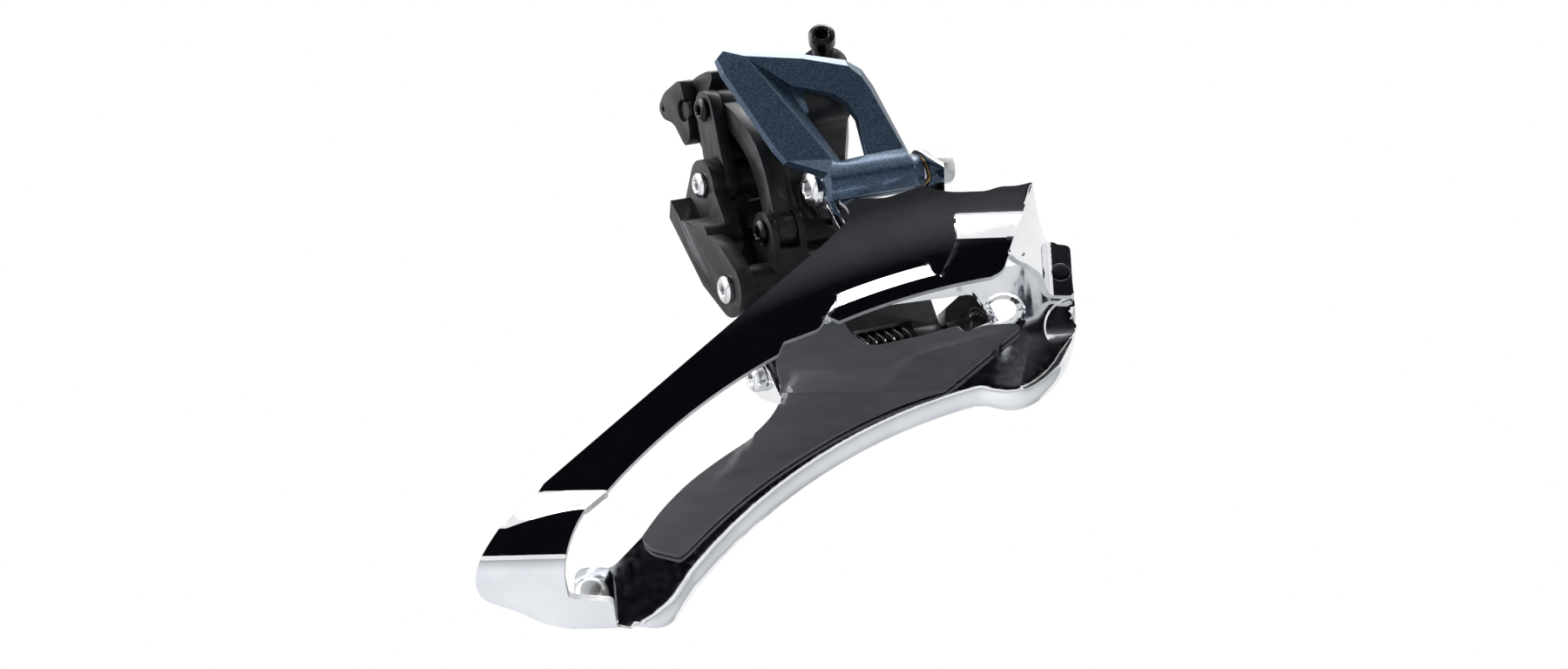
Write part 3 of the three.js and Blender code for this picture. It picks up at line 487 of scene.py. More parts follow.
def outer_place(u, v):
    """The flat blank's point (u, v) on the bent plate, in millimetres."""
    x, y, z = u, OUTER_FACE, v
    if v < TAIL_CREASE_Z:
        y, z = walk(TAIL_PATH, TAIL_CREASE_Z - v)
        if z > TAIL_TURN_Z and v > TAIL_LEAN_END:
            y = OUTER_FACE + (TAIL_STEP - OUTER_FACE) * clamp01((TAIL_CREASE_Z - z) / tail_lean(u))
        return x, y, z
    edge = math.hypot(u - RING_CENTRE.x, v - RING_CENTRE.y) - OUTER_EDGE_RADIUS
    # the strip along the lower edge and the lip near the nose stand proud, each under a leaning facet
    leaning = clamp01((edge - STRIP_TOP) / (STRIP_FOOT - STRIP_TOP))
    sharp = clamp01((edge - STRIP_TOP) / STEEP)
    leaning += (sharp - leaning) * clamp01(ahead_of(*STRIP_FRONT, u, v) / STEEP)
    strip = PROUD * clamp01(ahead_of(*STRIP_REAR, u, v) / STEEP) * (1 - leaning)
    within = u - LIP_CORNER[0] if v > LIP_CORNER[1] else ahead_of(LIP_CORNER, LIP_REAR, u, v)
    lip = PROUD * clamp01(within / STEEP) * (1 - clamp01((v - LIP_CORNER[1]) / LIP_LEAN))
    y -= max(strip, lip)
    # the flat is a little crowned across
    y -= 0.2 * math.cos(math.pi * min(1.0, abs(edge - 8) / 12))
    bend = table_value(NOSE_BEND, v)
    if u > bend:
        path = nose_path(bend)
        x, turned_y = walk(path, (u - bend) / (NOSE_END - bend) * path_length(path))
        y = turned_y + (y - OUTER_FACE) * (1 - ramp(u, bend, bend + 2.2))
    return x, y, z


TAIL_LEAN_RUN = math.hypot(TAIL_LEAN, TAIL_STEP - OUTER_FACE)
TAIL_LEAN_END = TAIL_CREASE_Z - TAIL_LEAN_RUN - 7.0
TAIL_END = TAIL_CREASE_Z - path_length(TAIL_PATH)
outer_outline = rounded([
    (11.0, -14.8, 0.6), (13.0, -16.9, 1.5), (12.8, -19.2, 1.5), (8.4, -24.2, 2), (-38.7, -69.6, 0.3),
    (-42.0, -75.6, 3), (-45.6, -80.8, 3), (-48.3, -86.2, 2), (-49.2, -90.7, 2), (-48.4, -94.4, 2),
    (-42.8, -97.6, 2),
    (-39.0, -101.0, 2), (-34.4, -102.6, 0.5), (-34.4, TAIL_END, 2.2), (-28.0, TAIL_END, 2.2),
    (-27.0, -102.6, 0.5),
    (-27.0, -95.6, 1), (-34.2, -94.4, 0.8), (-34.4, -88.0, 4), (-33.2, -81.0, 4), (-29.6, -74.2, 3),
    (-28.0, -71.0, 0.5),
    *plain(ring_arc(OUTER_EDGE_RADIUS, -26.0, 0.5, 14)), (1.4, -43.6, 0.3), (7.4, -41.2, 0.8),
    (8.6, -39.2, 0.6),
    *plain(ring_arc(OUTER_EDGE_RADIUS, 11.0, 37.3, 14)), (39.4, -31.4, 1.2), (40.5, -28.0, 1.0),
    (44.9, -28.6, 1.5), (52.8, -29.6, 1.5), (NOSE_END, -30.0, 1.0), (NOSE_END, -19.6, 1.0),
    (53.0, -18.6, 1.0),
    (48.6, -16.8, 1.0),
    (45.4, -12.5, 0.5), (42.6, -13.2, 1), (39.6, -13.2, 1), (37.2, -14.1, 1), (31.0, -14.1, 2),
    (28.0, -13.3, 1),
    (25.8, -12.6, 0.8), (24.2, -13.2, 0.8), (19.6, -14.8, 1),
], 1.0)
lip_foot, strip_top = (28.5, -31.5), ring_arc(OUTER_EDGE_RADIUS + STRIP_TOP, 10.0, 28.2, 12)
pressed("outer_plate", outer_outline, [], outer_place, SHEET, 0.7, creases=[
    [(-40.5, TAIL_CREASE_Z), (-27.2, TAIL_CREASE_Z)],
    [(x, TAIL_CREASE_Z - TAIL_LEAN_RUN - tail_lean(x) + TAIL_LEAN) for x in range(-48, -28)],
    [(x, z) for z, x in NOSE_BEND[1:4]],
    [(LIP_CORNER[0] + STEEP, LIP_CORNER[1]), (40.6, LIP_CORNER[1])],
    [(LIP_CORNER[0], -18.8), LIP_CORNER, lip_foot],
    [(LIP_CORNER[0] + STEEP, -18.8), (LIP_CORNER[0] + STEEP, LIP_CORNER[1]),
        (lip_foot[0] + STEEP, lip_foot[1])],
    strip_top, ring_arc(OUTER_EDGE_RADIUS + STRIP_TOP + STEEP, 27.8, 28.4, 2),
    ring_arc(OUTER_EDGE_RADIUS + STRIP_FOOT, 10.5, STRIP_FRONT[0][0], 10),
    list(STRIP_FRONT), [(x + STEEP, z) for x, z in STRIP_FRONT],
    [STRIP_REAR[0], (8.6, -39.1)], [(STRIP_REAR[0][0] + STEEP, STRIP_REAR[0][1]), (8.6 + STEEP, -39.1)],
])


# ---------------------------------------------------------------- inner plate
INNER_ROLL = 2.2
INNER_RUN = 1.4
ROLL_FADE = 7.0
edge_line = sampled(rounded([
    (52.3, -33.0), (52.3, -36.6), (50.4, -42.3), (46.6, -47.2), (41.4, -50.4),
    *plain(ring_arc(89.0, 35.0, -14.0, 14, 86.5)),
    (-18.0, -88.6), (-22.4, -90.5), (-27.6, -90.4),
], 3.0)[5:-5], 0.7, closed=False)
edge_reach = [0.0]
for first, second in zip(edge_line, edge_line[1:]):
    edge_reach.append(edge_reach[-1] + math.dist(first, second))


def roll_at(reach):
    """Radius of the rolled edge, which fades out at both ends."""
    return INNER_ROLL * max(0.02, ramp(reach, 0, ROLL_FADE) * ramp(edge_reach[-1] - reach, 0, ROLL_FADE))


def blank_edge():
    """The rolled edge laid flat: the line moved out by the length that the roll takes up."""
    out = []
    for i, (x, z) in enumerate(edge_line):
        a, b = Vector(edge_line[max(i - 1, 0)]), Vector(edge_line[min(i + 1, len(edge_line) - 1)])
        run = (b - a).normalized()
        out_by = roll_at(edge_reach[i]) * (math.pi / 2 - 1 + INNER_RUN / INNER_ROLL)
        out.append((x - run.y * out_by, z + run.x * out_by))
    return out


def inner_place(x, z):
    """A point of the flat blank on the inner plate, whose lower edge rolls inboard."""
    best = None
    for i, ((ax, az), (bx, bz)) in enumerate(zip(edge_line, edge_line[1:])):
        dx, dz = bx - ax, bz - az
        t = min(1.0, max(0.0, ((x - ax) * dx + (z - az) * dz) / (dx * dx + dz * dz)))
        px, pz = ax + dx * t, az + dz * t
        distance = (x - px) ** 2 + (z - pz) ** 2
        if best is None or distance < best[0]:
            best = (distance, px, pz, dx, dz, edge_reach[i] + t * math.hypot(dx, dz))
    distance, px, pz, dx, dz, reach = best
    side = 1 if (x - px) * dz - (z - pz) * dx > 0 else -1
    depth = side * max(math.sqrt(distance), 1e-6)
    nx, nz = (x - px) / depth, (z - pz) / depth
    if abs(depth) < 1e-3:
        nx, nz = dz / math.hypot(dx, dz), -dx / math.hypot(dx, dz)
    radius = roll_at(reach)
    y = INNER_FACE
    if depth < radius:
        turn = min((radius - depth) / radius, math.pi / 2)
        rest = (radius - depth) - turn * radius
        away = radius * (1 - math.sin(turn))
        y += radius * (1 - math.cos(turn)) + rest
        x, z = x + nx * (away - depth), z + nz * (away - depth)
    return x, y, z
def from_facets(*facets):
    """A height over the sheet, read off flat triangles of (x, z, height) corners; 0 outside them."""
    def height(x, z):
        for (ax, az, ah), (bx, bz, bh), (cx, cz, ch) in facets:
            area = (bx - ax) * (cz - az) - (cx - ax) * (bz - az)
            u = ((x - ax) * (cz - az) - (cx - ax) * (z - az)) / area
            v = ((bx - ax) * (z - az) - (x - ax) * (bz - az)) / area
            if u > -1e-4 and v > -1e-4 and u + v < 1.0001:
                return ah + (bh - ah) * u + (ch - ah) * v
        return 0.0
    return height


NOSE_RIDGE = ((44.6, -36.6), (41.7, -48.2))
RIDGE_HEIGHT = 0.9
RIDGE_REACH = 5.0
HOLLOW, HOLLOW_RADIUS, HOLLOW_DEPTH = (53.0, -35.4), 6.1, 0.35      # round dent in the front edge
EYE, EYE_RADIUS, EYE_RIM, EYE_HEIGHT = (39.8,
    -31.8), 3.2, 0.55, 0.3     # rolled rim at the window's front end


def arc(centre, radius, from_deg, to_deg, count):
    angles = (math.radians(from_deg + (to_deg - from_deg) * k / count) for k in range(count + 1))
    return [(centre[0] + radius * math.cos(a), centre[1] + radius * math.sin(a)) for a in angles]


def inner_shape(x, z):
    px, y, pz = inner_place(x, z)
    (ax, az), (bx, bz) = NOSE_RIDGE
    run = (bx - ax, bz - az)
    t = min(1.0, max(0.0, ((x - ax) * run[0] + (z - az) * run[1]) / (run[0] ** 2 + run[1] ** 2)))
    distance = math.hypot(x - ax - run[0] * t, z - az - run[1] * t)
    y -= RIDGE_HEIGHT * t * max(0.0, 1 - distance / RIDGE_REACH)
    y += HOLLOW_DEPTH * (1 - clamp01((math.dist((x, z), HOLLOW) - HOLLOW_RADIUS) / STEEP)) * ramp(z,
        -38.5, -35.5)
    y -= EYE_HEIGHT * max(0.0, 1 - abs(math.dist((x, z), EYE) - EYE_RADIUS) / EYE_RIM)
    return px, y, pz


inner_outline = rounded([
    (49.0, -17.4), (51.9, -20.6), (52.3, -31.0), *plain(blank_edge()),
    (-34.4, -88.0), (-34.4, -80.2), (-28.2, -79.6), (-23.0, -73.6), (-15.4, -64.6), (-9.8, -60.1),
    (-4.2, -56.2), (-0.6, -52.4), (1.5, -47.8), (-1.9, -39.6), (1.0, -36.4),
    (6.0, -31.0), (10.0, -25.4), (14.0, -23.0), (42.0, -22.6),
], 1.2)
inner_window = rounded([
    (12.2, -30.0), (12.4, -33.6), (14.0, -36.8), (16.6, -38.2), (25.4, -36.3), (31.6, -34.4),
    (32.6, -36.0), (35.6, -34.6), (37.4, -33.8), (39.4, -34.2), (41.6, -33.0), (42.2, -30.8),
    (40.6, -29.2), (38.2, -29.4),
    (36.4, -31.0), (34.4, -27.4),
], 1.1)
pressed("inner_plate", inner_outline, [inner_window], inner_shape, SHEET, 0.8,
        creases=[
            list(NOSE_RIDGE), arc(HOLLOW, HOLLOW_RADIUS, 100, 215, 12),
            arc(HOLLOW, HOLLOW_RADIUS + STEEP, 100, 215, 12),
            arc(EYE, EYE_RADIUS, -35, 150, 16), arc(EYE, EYE_RADIUS + EYE_RIM, -35, 150, 16),
        ], look=LOOKS_EXTRA["chrome_peel"])

# ---------------------------------------------------------------- resin skid
SKID_FACE = INNER_FACE - GAP - 1.2
CREST_LEFT, CREST_RIGHT, SKID_TIP = (1.6, -48.5, 1.3), (17.5, -49.0, 1.3), (28.6, -48.0, 0.2)
STEP_LEFT, STEP_RIGHT, FOLD = (2.9, -43.4, 0.0), (17.9, -43.5, 0.0), (21.2, -44.8, 0.7)
UPPER, NOSE_TIP = (23.3, -41.4, 0.25), (42.6, -35.6, 0.0)
FOOT = (16.4, -52.9, 0.0)
skid_height = from_facets(
    (CREST_LEFT, STEP_LEFT, STEP_RIGHT), (CREST_LEFT, STEP_RIGHT, CREST_RIGHT),
    (CREST_RIGHT, STEP_RIGHT, FOLD),
    (CREST_RIGHT, FOLD, SKID_TIP), (STEP_RIGHT, UPPER, FOLD), (FOLD, UPPER, SKID_TIP),
    (UPPER, NOSE_TIP, SKID_TIP),
    (CREST_LEFT, CREST_RIGHT, (-12.0, -66.0, 0.0)), (CREST_RIGHT, FOOT, (-12.0, -66.0, 0.0)),
    (CREST_RIGHT, SKID_TIP, FOOT),
)
skid_outline = rounded([
    (-23.4, -75.0), (-21.6, -77.0), (-16.8, -78.4), *plain(ring_arc(90.6, -15.4, 27.4, 16)),
    (28.8, -48.3), (42.6, -35.9), (41.4, -35.2), (36.0, -35.4, 1), (32.5, -36.8, 1), (31.4, -35.3, 1),
    (25.2, -37.1),
    (16.4, -39.0, 2), (13.4, -37.5, 1.5), (11.5, -34.0), (11.4, -30.4), (10.2, -28.0), (6.6, -31.8),
    (1.6, -37.0, 2),
    (-0.9, -40.0, 2), (0.8, -48.6, 3), (-0.8, -52.5, 3), (-4.3, -56.3, 3), (-9.8, -60.1, 3),
    (-15.4, -64.6, 3),
    (-20.1, -69.8, 3),
], 0.8)
pressed("skid_plate", skid_outline, [], lambda x, z: (x, SKID_FACE - skid_height(x, z), z), 1.1, 0.8,
    creases=[
    [CREST_LEFT[:2], CREST_RIGHT[:2]], [CREST_RIGHT[:2], (27.6, -48.3)], [STEP_LEFT[:2], STEP_RIGHT[:2]],
    [UPPER[:2], (41.0, -36.1)], [STEP_RIGHT[:2], FOLD[:2]], [FOLD[:2], (27.6, -47.9)],
], rim=0.35)


# ---------------------------------------------------------------- solids carried over in part
def clipped(node, name, planes, width):
    """The CAD solid on the kept side of planes (point, direction kept), with soft edges."""
    mesh = solid_mesh(node)
    bm = bmesh.new()
    bm.from_mesh(mesh)
    for point, kept in planes:
        bmesh.ops.bisect_plane(
            bm, geom=bm.verts[:] + bm.edges[:] + bm.faces[:], plane_co=Vector(point) * MM, plane_no=kept,
            clear_inner=True, dist=1e-7,
        )
        rim = [e for e in bm.edges if len(e.link_faces) == 1]
        bmesh.ops.holes_fill(bm, edges=rim, sides=0)
    bmesh.ops.recalc_face_normals(bm, faces=bm.faces)
    bm.to_mesh(mesh)
    bm.free()
    return soften(finish_piece(mesh, name, node), width)


clipped("outer_plate", "outer_plate_lugs", [
    ((0, OUTER_FACE + SHEET + 0.02, 0), (0, 1, 0)), ((0, 0, -40), (0, 0, 1)), ((30, 0, 0), (-1, 0, 0)),
], 0.2)
clipped("inner_plate", "inner_plate_ears", [
    ((0, INNER_FACE + SHEET + 0.02, 0), (0, 1, 0)), ((-10, 0, -56), (-12, 0, 45)),
], 0.2)

# ---------------------------------------------------------------- outer link
link_run = Vector(PIVOT_CAGE_OUTER) - Vector(PIVOT_OUTER)
link_down = link_run.normalized()
link_out = Vector((link_down.y, -link_down.x))
if link_out.x > 0:
    link_out.negate()
LINK_BACK = 5.0


def on_link(along, down, out):
    flat = Vector(PIVOT_OUTER) + link_down * down + link_out * out
    return LINKAGE @ Vector((flat.x, flat.y, along)) * MM


LINK_POINTS = {
    "corner_rear": (-18.4, -7.6, 6.2), "corner_top": (-16.6, -9.0, 6.0), "top_mid": (-2.0, -6.6, 5.9),
    "top_front": (6.6, -4.2, 5.9), "knee": (9.2, -2.0, 5.9), "side_top": (10.4, 1.5, 5.9),
    "side_low": (12.8, 15.0, 5.9),
    "apex": (-13.4, -7.0, 7.2), "lip_mid": (-2.4, -5.0, 7.2), "lip_front": (6.0, -2.4, 7.2),
    "lip_knee": (8.0, 0.1, 7.2),
    "lip_side": (8.9, 3.0, 7.15), "lip_low": (11.4, 14.6, 7.0),
    "rear_top": (-18.2, -4.6, 6.7), "rear_low": (-13.2, 10.8, 6.7), "rear_foot": (-11.8, 13.6, 6.7),
    "win_apex": (-6.2, -0.4, 6.9), "win_top": (1.6, 2.2, 6.7), "win_knee": (3.8, 4.2, 6.6),
    "win_side": (4.9, 7.4, 6.5),
    "win_low": (4.3, 14.4, 5.9), "pit_top": (-6.1, -0.3, 5.3), "pit_low": (-0.9, 14.6, 5.5),
    "ridge_low": (-3.2, 14.6, 6.9),
}
LINK_FACES = [
    ("corner_rear", "corner_top", "apex", "rear_top"), ("corner_top", "top_mid", "lip_mid", "apex"),
    ("top_mid", "top_front", "lip_front", "lip_mid"), ("top_front", "knee", "lip_knee", "lip_front"),
    ("knee", "side_top", "lip_side", "lip_knee"), ("side_top", "side_low", "lip_low", "lip_side"),
    ("apex", "lip_mid", "win_top", "win_apex"), ("lip_mid", "lip_front", "win_top"),
    ("lip_front", "lip_knee", "win_knee", "win_top"), ("lip_knee", "lip_side", "win_side", "win_knee"),
    ("lip_side", "lip_low", "win_low", "win_side"), ("apex", "win_apex", "pit_top"),
    ("apex", "pit_top", "pit_low", "ridge_low"), ("rear_top", "apex", "ridge_low", "rear_low"),
    ("rear_low", "ridge_low", "rear_foot"),
]
BARREL_ROWS = [(15.6, 6.9), (16.4, 7.35), (17.3, 7.6), (18.3, 7.7), (19.3, 7.5), (20.2, 7.0), (21.0, 6.2),
    (21.6, 5.4)]
BARREL_COLUMNS = [-0.9, 4.3, 11.9, 12.6]


def link_face():
    points, faces = dict(LINK_POINTS), list(LINK_FACES)
    previous = ["ridge_low", "pit_low", "win_low", "lip_low", "side_low"]
    barrel_from = len(faces)
    for k, (down, out) in enumerate(BARREL_ROWS):
        left = -3.4 if down < 16 else -4.3 if down < 17 else -5.2
        row = []
        for c, along in enumerate([left, *BARREL_COLUMNS]):
            name = f"barrel_{k}_{c}"
            points[name] = (along, down, out - (0.7 if c == 4 else 0))
            row.append(name)
        faces += [(previous[c], previous[c + 1], row[c + 1], row[c]) for c in range(4)]
        previous = row
    faces.append(("rear_foot", "ridge_low", "barrel_0_0", "barrel_1_0", "barrel_2_0"))
    names = list(points)
    top = [on_link(*points[n]) for n in names]
    bottom = [on_link(points[n][0], points[n][1], LINK_BACK) for n in names]
    index = {n: i for i, n in enumerate(names)}
    count = len(names)
    upper = [tuple(index[n] for n in face) for face in faces]
    edge_use = {}
    for face in upper:
        for a, b in zip(face, face[1:] + face[:1]):
            edge_use.setdefault(frozenset((a, b)), []).append((a, b))
    walls = [(b, a, a + count, b + count) for use in edge_use.values() if len(use) == 1 for a, b in use]
    lower = [tuple(i + count for i in reversed(face)) for face in upper]
    mesh = bpy.data.meshes.new("outer_link_face")
    mesh.from_pydata(top + bottom, [], upper + walls + lower)
    bm = bmesh.new()
    bm.from_mesh(mesh)
    bm.faces.ensure_lookup_table()
    barrel = set(bm.faces[i] for i in range(barrel_from, len(upper)))
    weight = bm.edges.layers.float.new("bevel_weight_edge")
    bmesh.ops.recalc_face_normals(bm, faces=bm.faces)
    for edge in bm.edges:
        if len(edge.link_faces) == 2 and edge.calc_face_angle() > math.radians(4):
            if not all(f in barrel for f in edge.link_faces) or edge.calc_face_angle() > math.radians(40):
                edge[weight] = 1.0
    bm.to_mesh(mesh)
    bm.free()
    piece = finish_piece(mesh, "outer_link_face", "outer_link")
    soften(piece, 0.35, 3)
    piece.modifiers["rounded_edges"].limit_method = "WEIGHT"
    return piece


link_face()
plane_normal = (LINKAGE.to_3x3() @ Vector((-link_out.x, -link_out.y, 0)))
clipped("outer_link", "outer_link_body", [(on_link(0, 0, LINK_BACK + 0.1) / MM, plane_normal)], 0.35)


# ---------------------------------------------------------------- turned pieces
SIDES = 48
TURNED_EDGE = math.radians(38)        # sharper corners than this stay crisp
THREAD_STEPS = 4                      # rows for each turn of a thread
SOCKET_FLOOR = 0.6                    # the socket's floor, as a share of its width
SOCKET_CHAMFER = 0.25
HEAD_EDGE = 0.3                       # rounding where a head's crown meets its side
CORNER_RATIO = 1.155                  # a hexagon's corner over its flat


def hexagon(apothem):
    return lambda angle, level: apothem / math.cos((angle + math.pi / 6) % (math.pi / 3) - math.pi / 6)


def thread(radius, pitch, depth):
    def at(angle, level):
        phase = (level / pitch - angle / (2 * math.pi)) % 1.0
        return radius - depth * abs(2 * phase - 1)
    return at


def threaded(start, end, radius, pitch, depth):
    steps = max(2, round(abs(end - start) / pitch * THREAD_STEPS))
    return [(start + (end - start) * k / steps, thread(radius, pitch, depth)) for k in range(steps + 1)]


def turned(node, base, place, rows, look=None, name=None):
    """A turned piece: rows of (level along the axis, radius), from its one end to the other."""
    verts, faces = [], []
    for level, radius in rows:
        for k in range(SIDES):
            angle = 2 * math.pi * k / SIDES
            r = radius(angle, level) if callable(radius) else radius
            spot = (place[0] + r * math.cos(angle), place[1] + r * math.sin(angle), level)
            verts.append(base @ Vector(spot) * MM)
    for j in range(len(rows) - 1):
        for k in range(SIDES):
            a, b = j * SIDES + k, j * SIDES + (k + 1) % SIDES
            faces.append((a, b, b + SIDES, a + SIDES))
    faces.append(tuple(reversed(range(SIDES))))
    faces.append(tuple(range((len(rows) - 1) * SIDES, len(rows) * SIDES)))
    mesh = bpy.data.meshes.new(f"{node}_turned")
    mesh.from_pydata(verts, [], faces)
    bm = bmesh.new()
    bm.from_mesh(mesh)
    bmesh.ops.recalc_face_normals(bm, faces=bm.faces)
    for face in bm.faces:
        face.smooth = True
    for edge in bm.edges:
        if len(edge.link_faces) == 2 and edge.calc_face_angle() > TURNED_EDGE:
            edge.smooth = False
    bm.to_mesh(mesh)
    bm.free()
    return finish_piece(mesh, name or f"{node}_turned", node, look)


def button_head(top, rim, radius, socket, depth, crown=0.35):
    """Rows of a crowned head, from the bottom of its hexagon socket out to rim, where its side ends."""
    s = 1 if rim > top else -1
    return [
        (top + s * depth, hexagon(socket / 2 * SOCKET_FLOOR)), (top + s * depth, hexagon(socket / 2)),
        (top + s * SOCKET_CHAMFER, hexagon(socket / 2)),
        (top + s * 0.02, hexagon(socket / 2 + 0.22)), (top, socket / 2 * CORNER_RATIO + SOCKET_CHAMFER),
        (top + s * crown * 0.25, radius * 0.72), (top + s * crown, radius - HEAD_EDGE),
        (top + s * (crown + HEAD_EDGE), radius), (rim, radius),
    ]


SUPPORT_BOLT_AT = (8.3, 24.4)
LIMIT_SCREWS = (("low_limit_screw", (-7.5, -0.5)), ("high_limit_screw", (-7.5, 4.1)))
CLAMP_BOLT_AT = (-3.6, 19.6)
TAIL_RIVET_AT = (-31.4, -85.2)
NOSE_RIVET_AT = (50.0, -25.0)
PIN_SOCKET, PIN_SOCKET_DEPTH, PIN_CROWN = 1.8, 0.9, 0.25
PIN_CHAMFER = 0.3

# Each row is (level along the axis, radius).
turned("outer_pivot_screw", LINKAGE, PIVOT_CAGE_OUTER, [
    *button_head(-6.2, -4.5, 3.1, 2.5, 1.4), (-4.5, 2.0), (21.6, 2.0), (22.0, 1.6),
])
turned("inner_pivot_screw", LINKAGE, PIVOT_CAGE_INNER, [
    *button_head(-21.8, -19.7, 2.6, 2.0, 1.1), (-19.7, 1.9), (19.6, 1.9), (20.0, 1.5),
])
for node, place, head, under, radius, shank, end in (
    ("inner_link_pin", PIVOT_INNER, -21.7, -20.7, 2.5, 1.9, 8.8),
    ("arm_pivot_pin", PIVOT_ARM, -17.5, -16.5, 2.3, 1.5, -3.9),
    ("toggle_pin_lower", PIVOT_TOGGLE_LOW, -13.3, -12.4, 2.3, 1.5, -5.0),
    ("toggle_pin_upper", PIVOT_TOGGLE_TOP, -14.3, -13.4, 2.3, 1.5, -4.9),
):
    turned(node, LINKAGE, place, [
        *button_head(head, under, radius, PIN_SOCKET, PIN_SOCKET_DEPTH, PIN_CROWN),
        (under, shank), (end - PIN_CHAMFER, shank), (end, shank - PIN_CHAMFER),
    ])
turned("outer_link_pin", LINKAGE, PIVOT_OUTER, [(-7.4, 1.6), (-7.1, 2.0), (9.9, 2.0), (10.2, 1.6)])
turned("support_bolt", ALONG_Y, SUPPORT_BOLT_AT, [
    *button_head(-21.0, -18.2, 2.5, 2.4, 1.6, 0.3), (-18.2, 1.75), *threaded(-17.9, -1.0, 2.0, 0.7, 0.4),
    (-0.6, 1.5),
])
turned("braze_on_bolt", ALONG_Y, (0, 0), [
    *button_head(9.0, 5.0, 4.2, 4.0, 2.8), (5.0, 2.5), (0.5, 2.5), *threaded(0.0, -8.6, 2.5, 0.8, 0.4),
    (-9.0, 2.0),
])
for node, place in LIMIT_SCREWS:
    turned(node, LINKAGE @ ALONG_Y, place, [
        *button_head(14.6, 12.6, 1.8, 2.0, 1.4, 0.2), (12.6, 1.2), *threaded(10.0, -6.2, 1.2, 0.5, 0.25),
        (-6.6, 0.9),
    ])
turned("cable_clamp_bolt", LINKAGE, CLAMP_BOLT_AT, [
    *button_head(-0.3, -3.5, 3.4, 3.0, 1.9), (-3.5, 2.0), (-12.4, 2.0), (-12.8, 1.6),
])
turned("tail_rivet", ALONG_Y, TAIL_RIVET_AT, [
    (-16.5, 1.4), (-16.4, 2.0), (-16.1, 2.4), (-15.3, 2.5), (-15.2, 2.9), (-14.6, 2.95), (-14.6, 1.5),
    (-11.7, 1.5), (-11.7, 2.2), (-11.0, 2.1), (-10.8, 1.6),
])
turned("nose_rivet", ALONG_Y, NOSE_RIVET_AT, [
    (-14.56, 1.2), (-14.55, 1.6), (-14.52, 1.8), (-14.4, 1.9), (-14.4, 1.5), (-11.7, 1.5), (-11.7, 2.2),
    (-11.0, 2.1), (-10.8, 1.6),
])


# ---------------------------------------------------------------- return spring
TURNS, STEPS_PER_TURN, COIL_RADIUS, WIRE = 6, 28, 3.6, 0.65
COIL_SPAN = (-1.2, 11.2)


def coil_curve():
    curve = bpy.data.curves.new("return_spring_coil", "CURVE")
    curve.dimensions = "3D"
    curve.bevel_depth = WIRE * MM
    curve.bevel_resolution = 4
    curve.use_fill_caps = True
    spline = curve.splines.new("POLY")
    start, end = COIL_SPAN[0] + WIRE, COIL_SPAN[1] - WIRE
    count = TURNS * STEPS_PER_TURN + 1
    spline.points.add(count - 1)
    for k in range(count):
        t = k / (count - 1)
        angle = 2 * math.pi * TURNS * t
        spot = LINKAGE @ Vector((
            PIVOT_CAGE_INNER[0] + COIL_RADIUS * math.cos(angle),
            PIVOT_CAGE_INNER[1] + COIL_RADIUS * math.sin(angle),
            start + (end - start) * t,
        )) * MM
        spline.points[k].co = (*spot, 1)
    spline.use_smooth = True
    piece = bpy.data.objects.new("return_spring_coil", curve)
    bpy.context.scene.collection.objects.link(piece)
    curve.materials.append(LOOKS["black_steel"])
    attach(piece, "cage")
    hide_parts("return_spring")


coil_curve()

# ---------------------------------------------------------------- castings and small parts
for node, width in (
    ("base_body", 0.5), ("inner_link", 0.4), ("cable_arm", 0.45), ("cable_guide", 0.3), ("toggle_link", 0.35),
    ("cable_clamp_plate", 0.15), ("radius_washer", 0.15), ("outer_pivot_nut", 0.25),
    ("cable_tension_screw", 0.15),
    ("outer_link_bush_rear", 0.1), ("outer_link_bush_front", 0.1),
):
    refined(node, width)


# ---------------------------------------------------------------- studio
MATT = 0.9


def stage_material(name, color):
    mat, _, bsdf = shader(name, color, 0.0, MATT)
    bsdf.inputs["Specular IOR Level"].default_value = 0.0
    return mat


def graded_card(name, dark, light, low, high):
    """A card that is dark below and lightens upwards between two heights, in metres; the lightening is
    painted light, a graded fall-off that shows as a graded reflection in the plated parts.
    """
    mat, tree, bsdf = shader(name, dark, 0.0, MATT)
    bsdf.inputs["Specular IOR Level"].default_value = 0.0
    coords = tree.nodes.new("ShaderNodeTexCoord")
    split = tree.nodes.new("ShaderNodeSeparateXYZ")
    tree.links.new(coords.outputs["Object"], split.inputs["Vector"])
    height = spread(tree, split.outputs["Y"], 0, 1, low, high)
    tree.links.new(tint(tree, height, dark, light, 0, 1), bsdf.inputs["Base Color"])
    return mat


def stage_plane(name, size, centre, facing, mat):
    mesh = bpy.data.meshes.new(name)
    x, y = size[0] / 2, size[1] / 2
    mesh.from_pydata([(-x, -y, 0), (x, -y, 0), (x, y, 0), (-x, y, 0)], [], [(0, 1, 2, 3)])
    mesh.materials.append(mat)
    plane = bpy.data.objects.new(name, mesh)
    turn = Vector(facing).to_track_quat("Z", "Y").to_matrix().to_4x4()
    plane.matrix_world = Matrix.Translation(centre) @ turn
    bpy.context.scene.collection.objects.link(plane)
    return plane


# Sizes and places in metres, colours as linear red, green and blue.
FLOOR_Z, FLOOR_SIZE, FLOOR_COLOR = -0.36, (6, 6), (0.44, 0.45, 0.465)
# The velvet card is dark; its lighter upper part is painted light, a fall-off that puts a graded reflection
# into the chrome.
VELVET_DARK, VELVET_PAINTED_LIGHT, VELVET_PAINTED_GRADE = (0.002, 0.002, 0.003), (0.05, 0.052, 0.056), (0.02, 0.24)
CARD_SIZE, CARD_AT, CARD_FACING = (1.15, 0.66), Vector((-0.05, -0.85, 0.42)), (0.0, 0.85, -0.46)
FELT_COLOR = (0.02, 0.021, 0.023)
SIDE_SIZE, SIDE_AT, SIDE_FACING = (0.55, 0.42), Vector((0.70, -0.60, 0.12)), (-0.70, 0.58, -0.16)

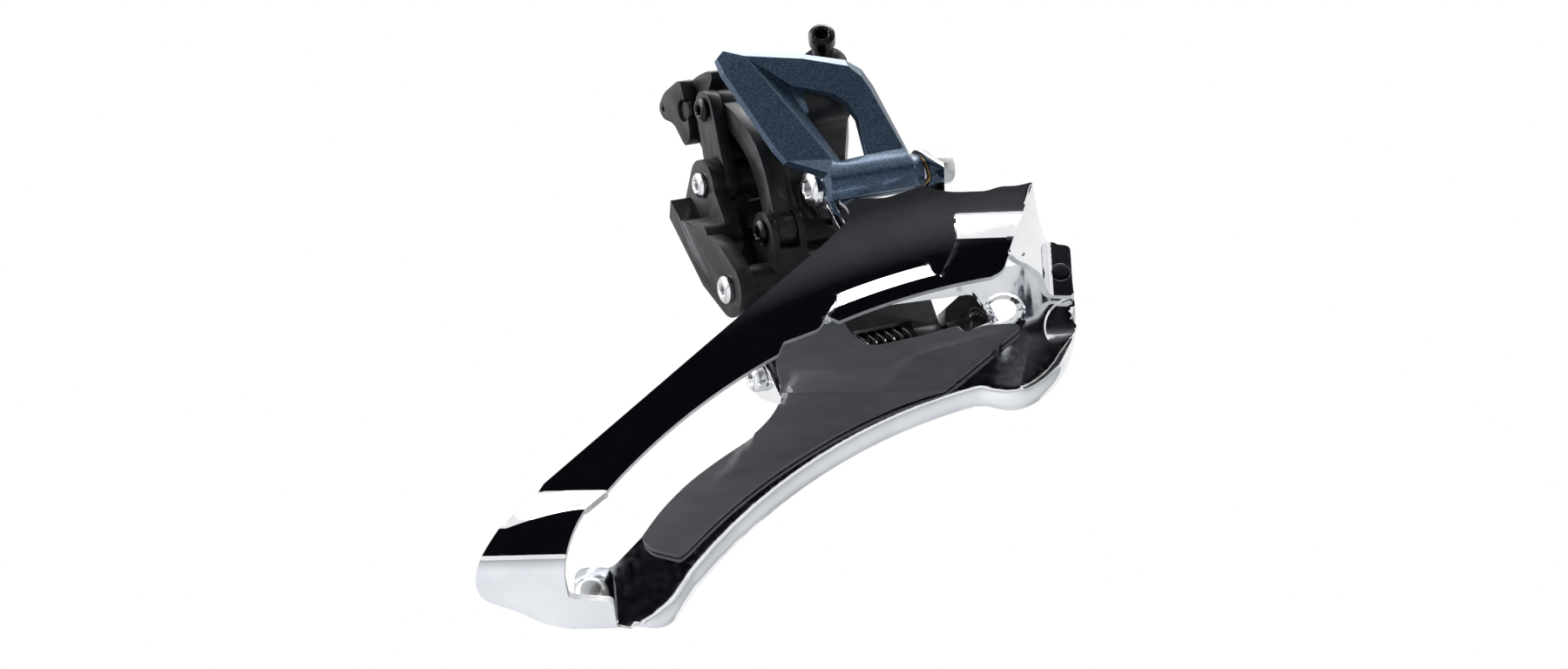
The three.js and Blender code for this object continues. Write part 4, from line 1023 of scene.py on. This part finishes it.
stage_plane("floor", FLOOR_SIZE, (0, 0, FLOOR_Z), (0, 0, 1), stage_material("pale_floor", FLOOR_COLOR))
# Painted light: the card's colour grades from dark to lighter upwards, so the plated parts reflect a painted
# gradient.
velvet = graded_card("black_velvet_painted_grade", VELVET_DARK, VELVET_PAINTED_LIGHT, *VELVET_PAINTED_GRADE)
card = stage_plane("dark_card", CARD_SIZE, CARD_AT, CARD_FACING, velvet)
felt = stage_material("dark_felt", FELT_COLOR)
side_card = stage_plane("side_card", SIDE_SIZE, SIDE_AT, SIDE_FACING, felt)
for screen in (card, side_card):
    screen.visible_camera = False
    screen.visible_shadow = False

world = bpy.data.worlds.new("pale_studio")
bpy.context.scene.world = world
world.use_nodes = True
world.node_tree.nodes["Background"].inputs["Color"].default_value = (1, 1, 1, 1)
world.node_tree.nodes["Background"].inputs["Strength"].default_value = 1.0
bpy.context.scene.view_settings.view_transform = "Standard"


def soft_light(name, spot, size, power):
    data = bpy.data.lights.new(name, "AREA")
    data.shape = "RECTANGLE"
    data.size, data.size_y = size
    data.energy = power
    lamp = bpy.data.objects.new(name, data)
    bpy.context.scene.collection.objects.link(lamp)
    lamp.location = spot
    lamp.rotation_mode = "QUATERNION"
    lamp.rotation_quaternion = (-Vector(spot)).to_track_quat("-Z", "Y")


for lamp_name, spot, size, watts in (
    ("key_rear_left", (-0.9, -0.25, 0.35), (0.6, 0.9), 20),
    ("top", (0.1, -0.1, 1.0), (0.9, 0.7), 11),
):
    soft_light(lamp_name, spot, size, watts)

# ---------------------------------------------------------------- camera
TARGET = Vector((0, -0.020, -0.038))
AZIMUTH, ELEVATION, DISTANCE = math.radians(3.4), math.radians(-30), 0.450
SENSOR_WIDTH, LENS = 36, 59.4         # millimetres
LENS_SHIFT = (0.0044, -0.0039)        # shares of the frame's width
CLIP = (0.01, 20)
camera = bpy.data.objects.new("camera", bpy.data.cameras.new("camera"))
bpy.context.scene.collection.objects.link(camera)
back = Vector((
    math.sin(AZIMUTH) * math.cos(ELEVATION), -math.cos(AZIMUTH) * math.cos(ELEVATION), math.sin(ELEVATION),
))
camera.location = TARGET + back * DISTANCE
camera.rotation_mode = "QUATERNION"
camera.rotation_quaternion = (-back).to_track_quat("-Z", "Y")
camera.data.sensor_width = SENSOR_WIDTH
camera.data.lens = LENS
camera.data.shift_x, camera.data.shift_y = LENS_SHIFT
camera.data.clip_start, camera.data.clip_end = CLIP
bpy.context.scene.camera = camera
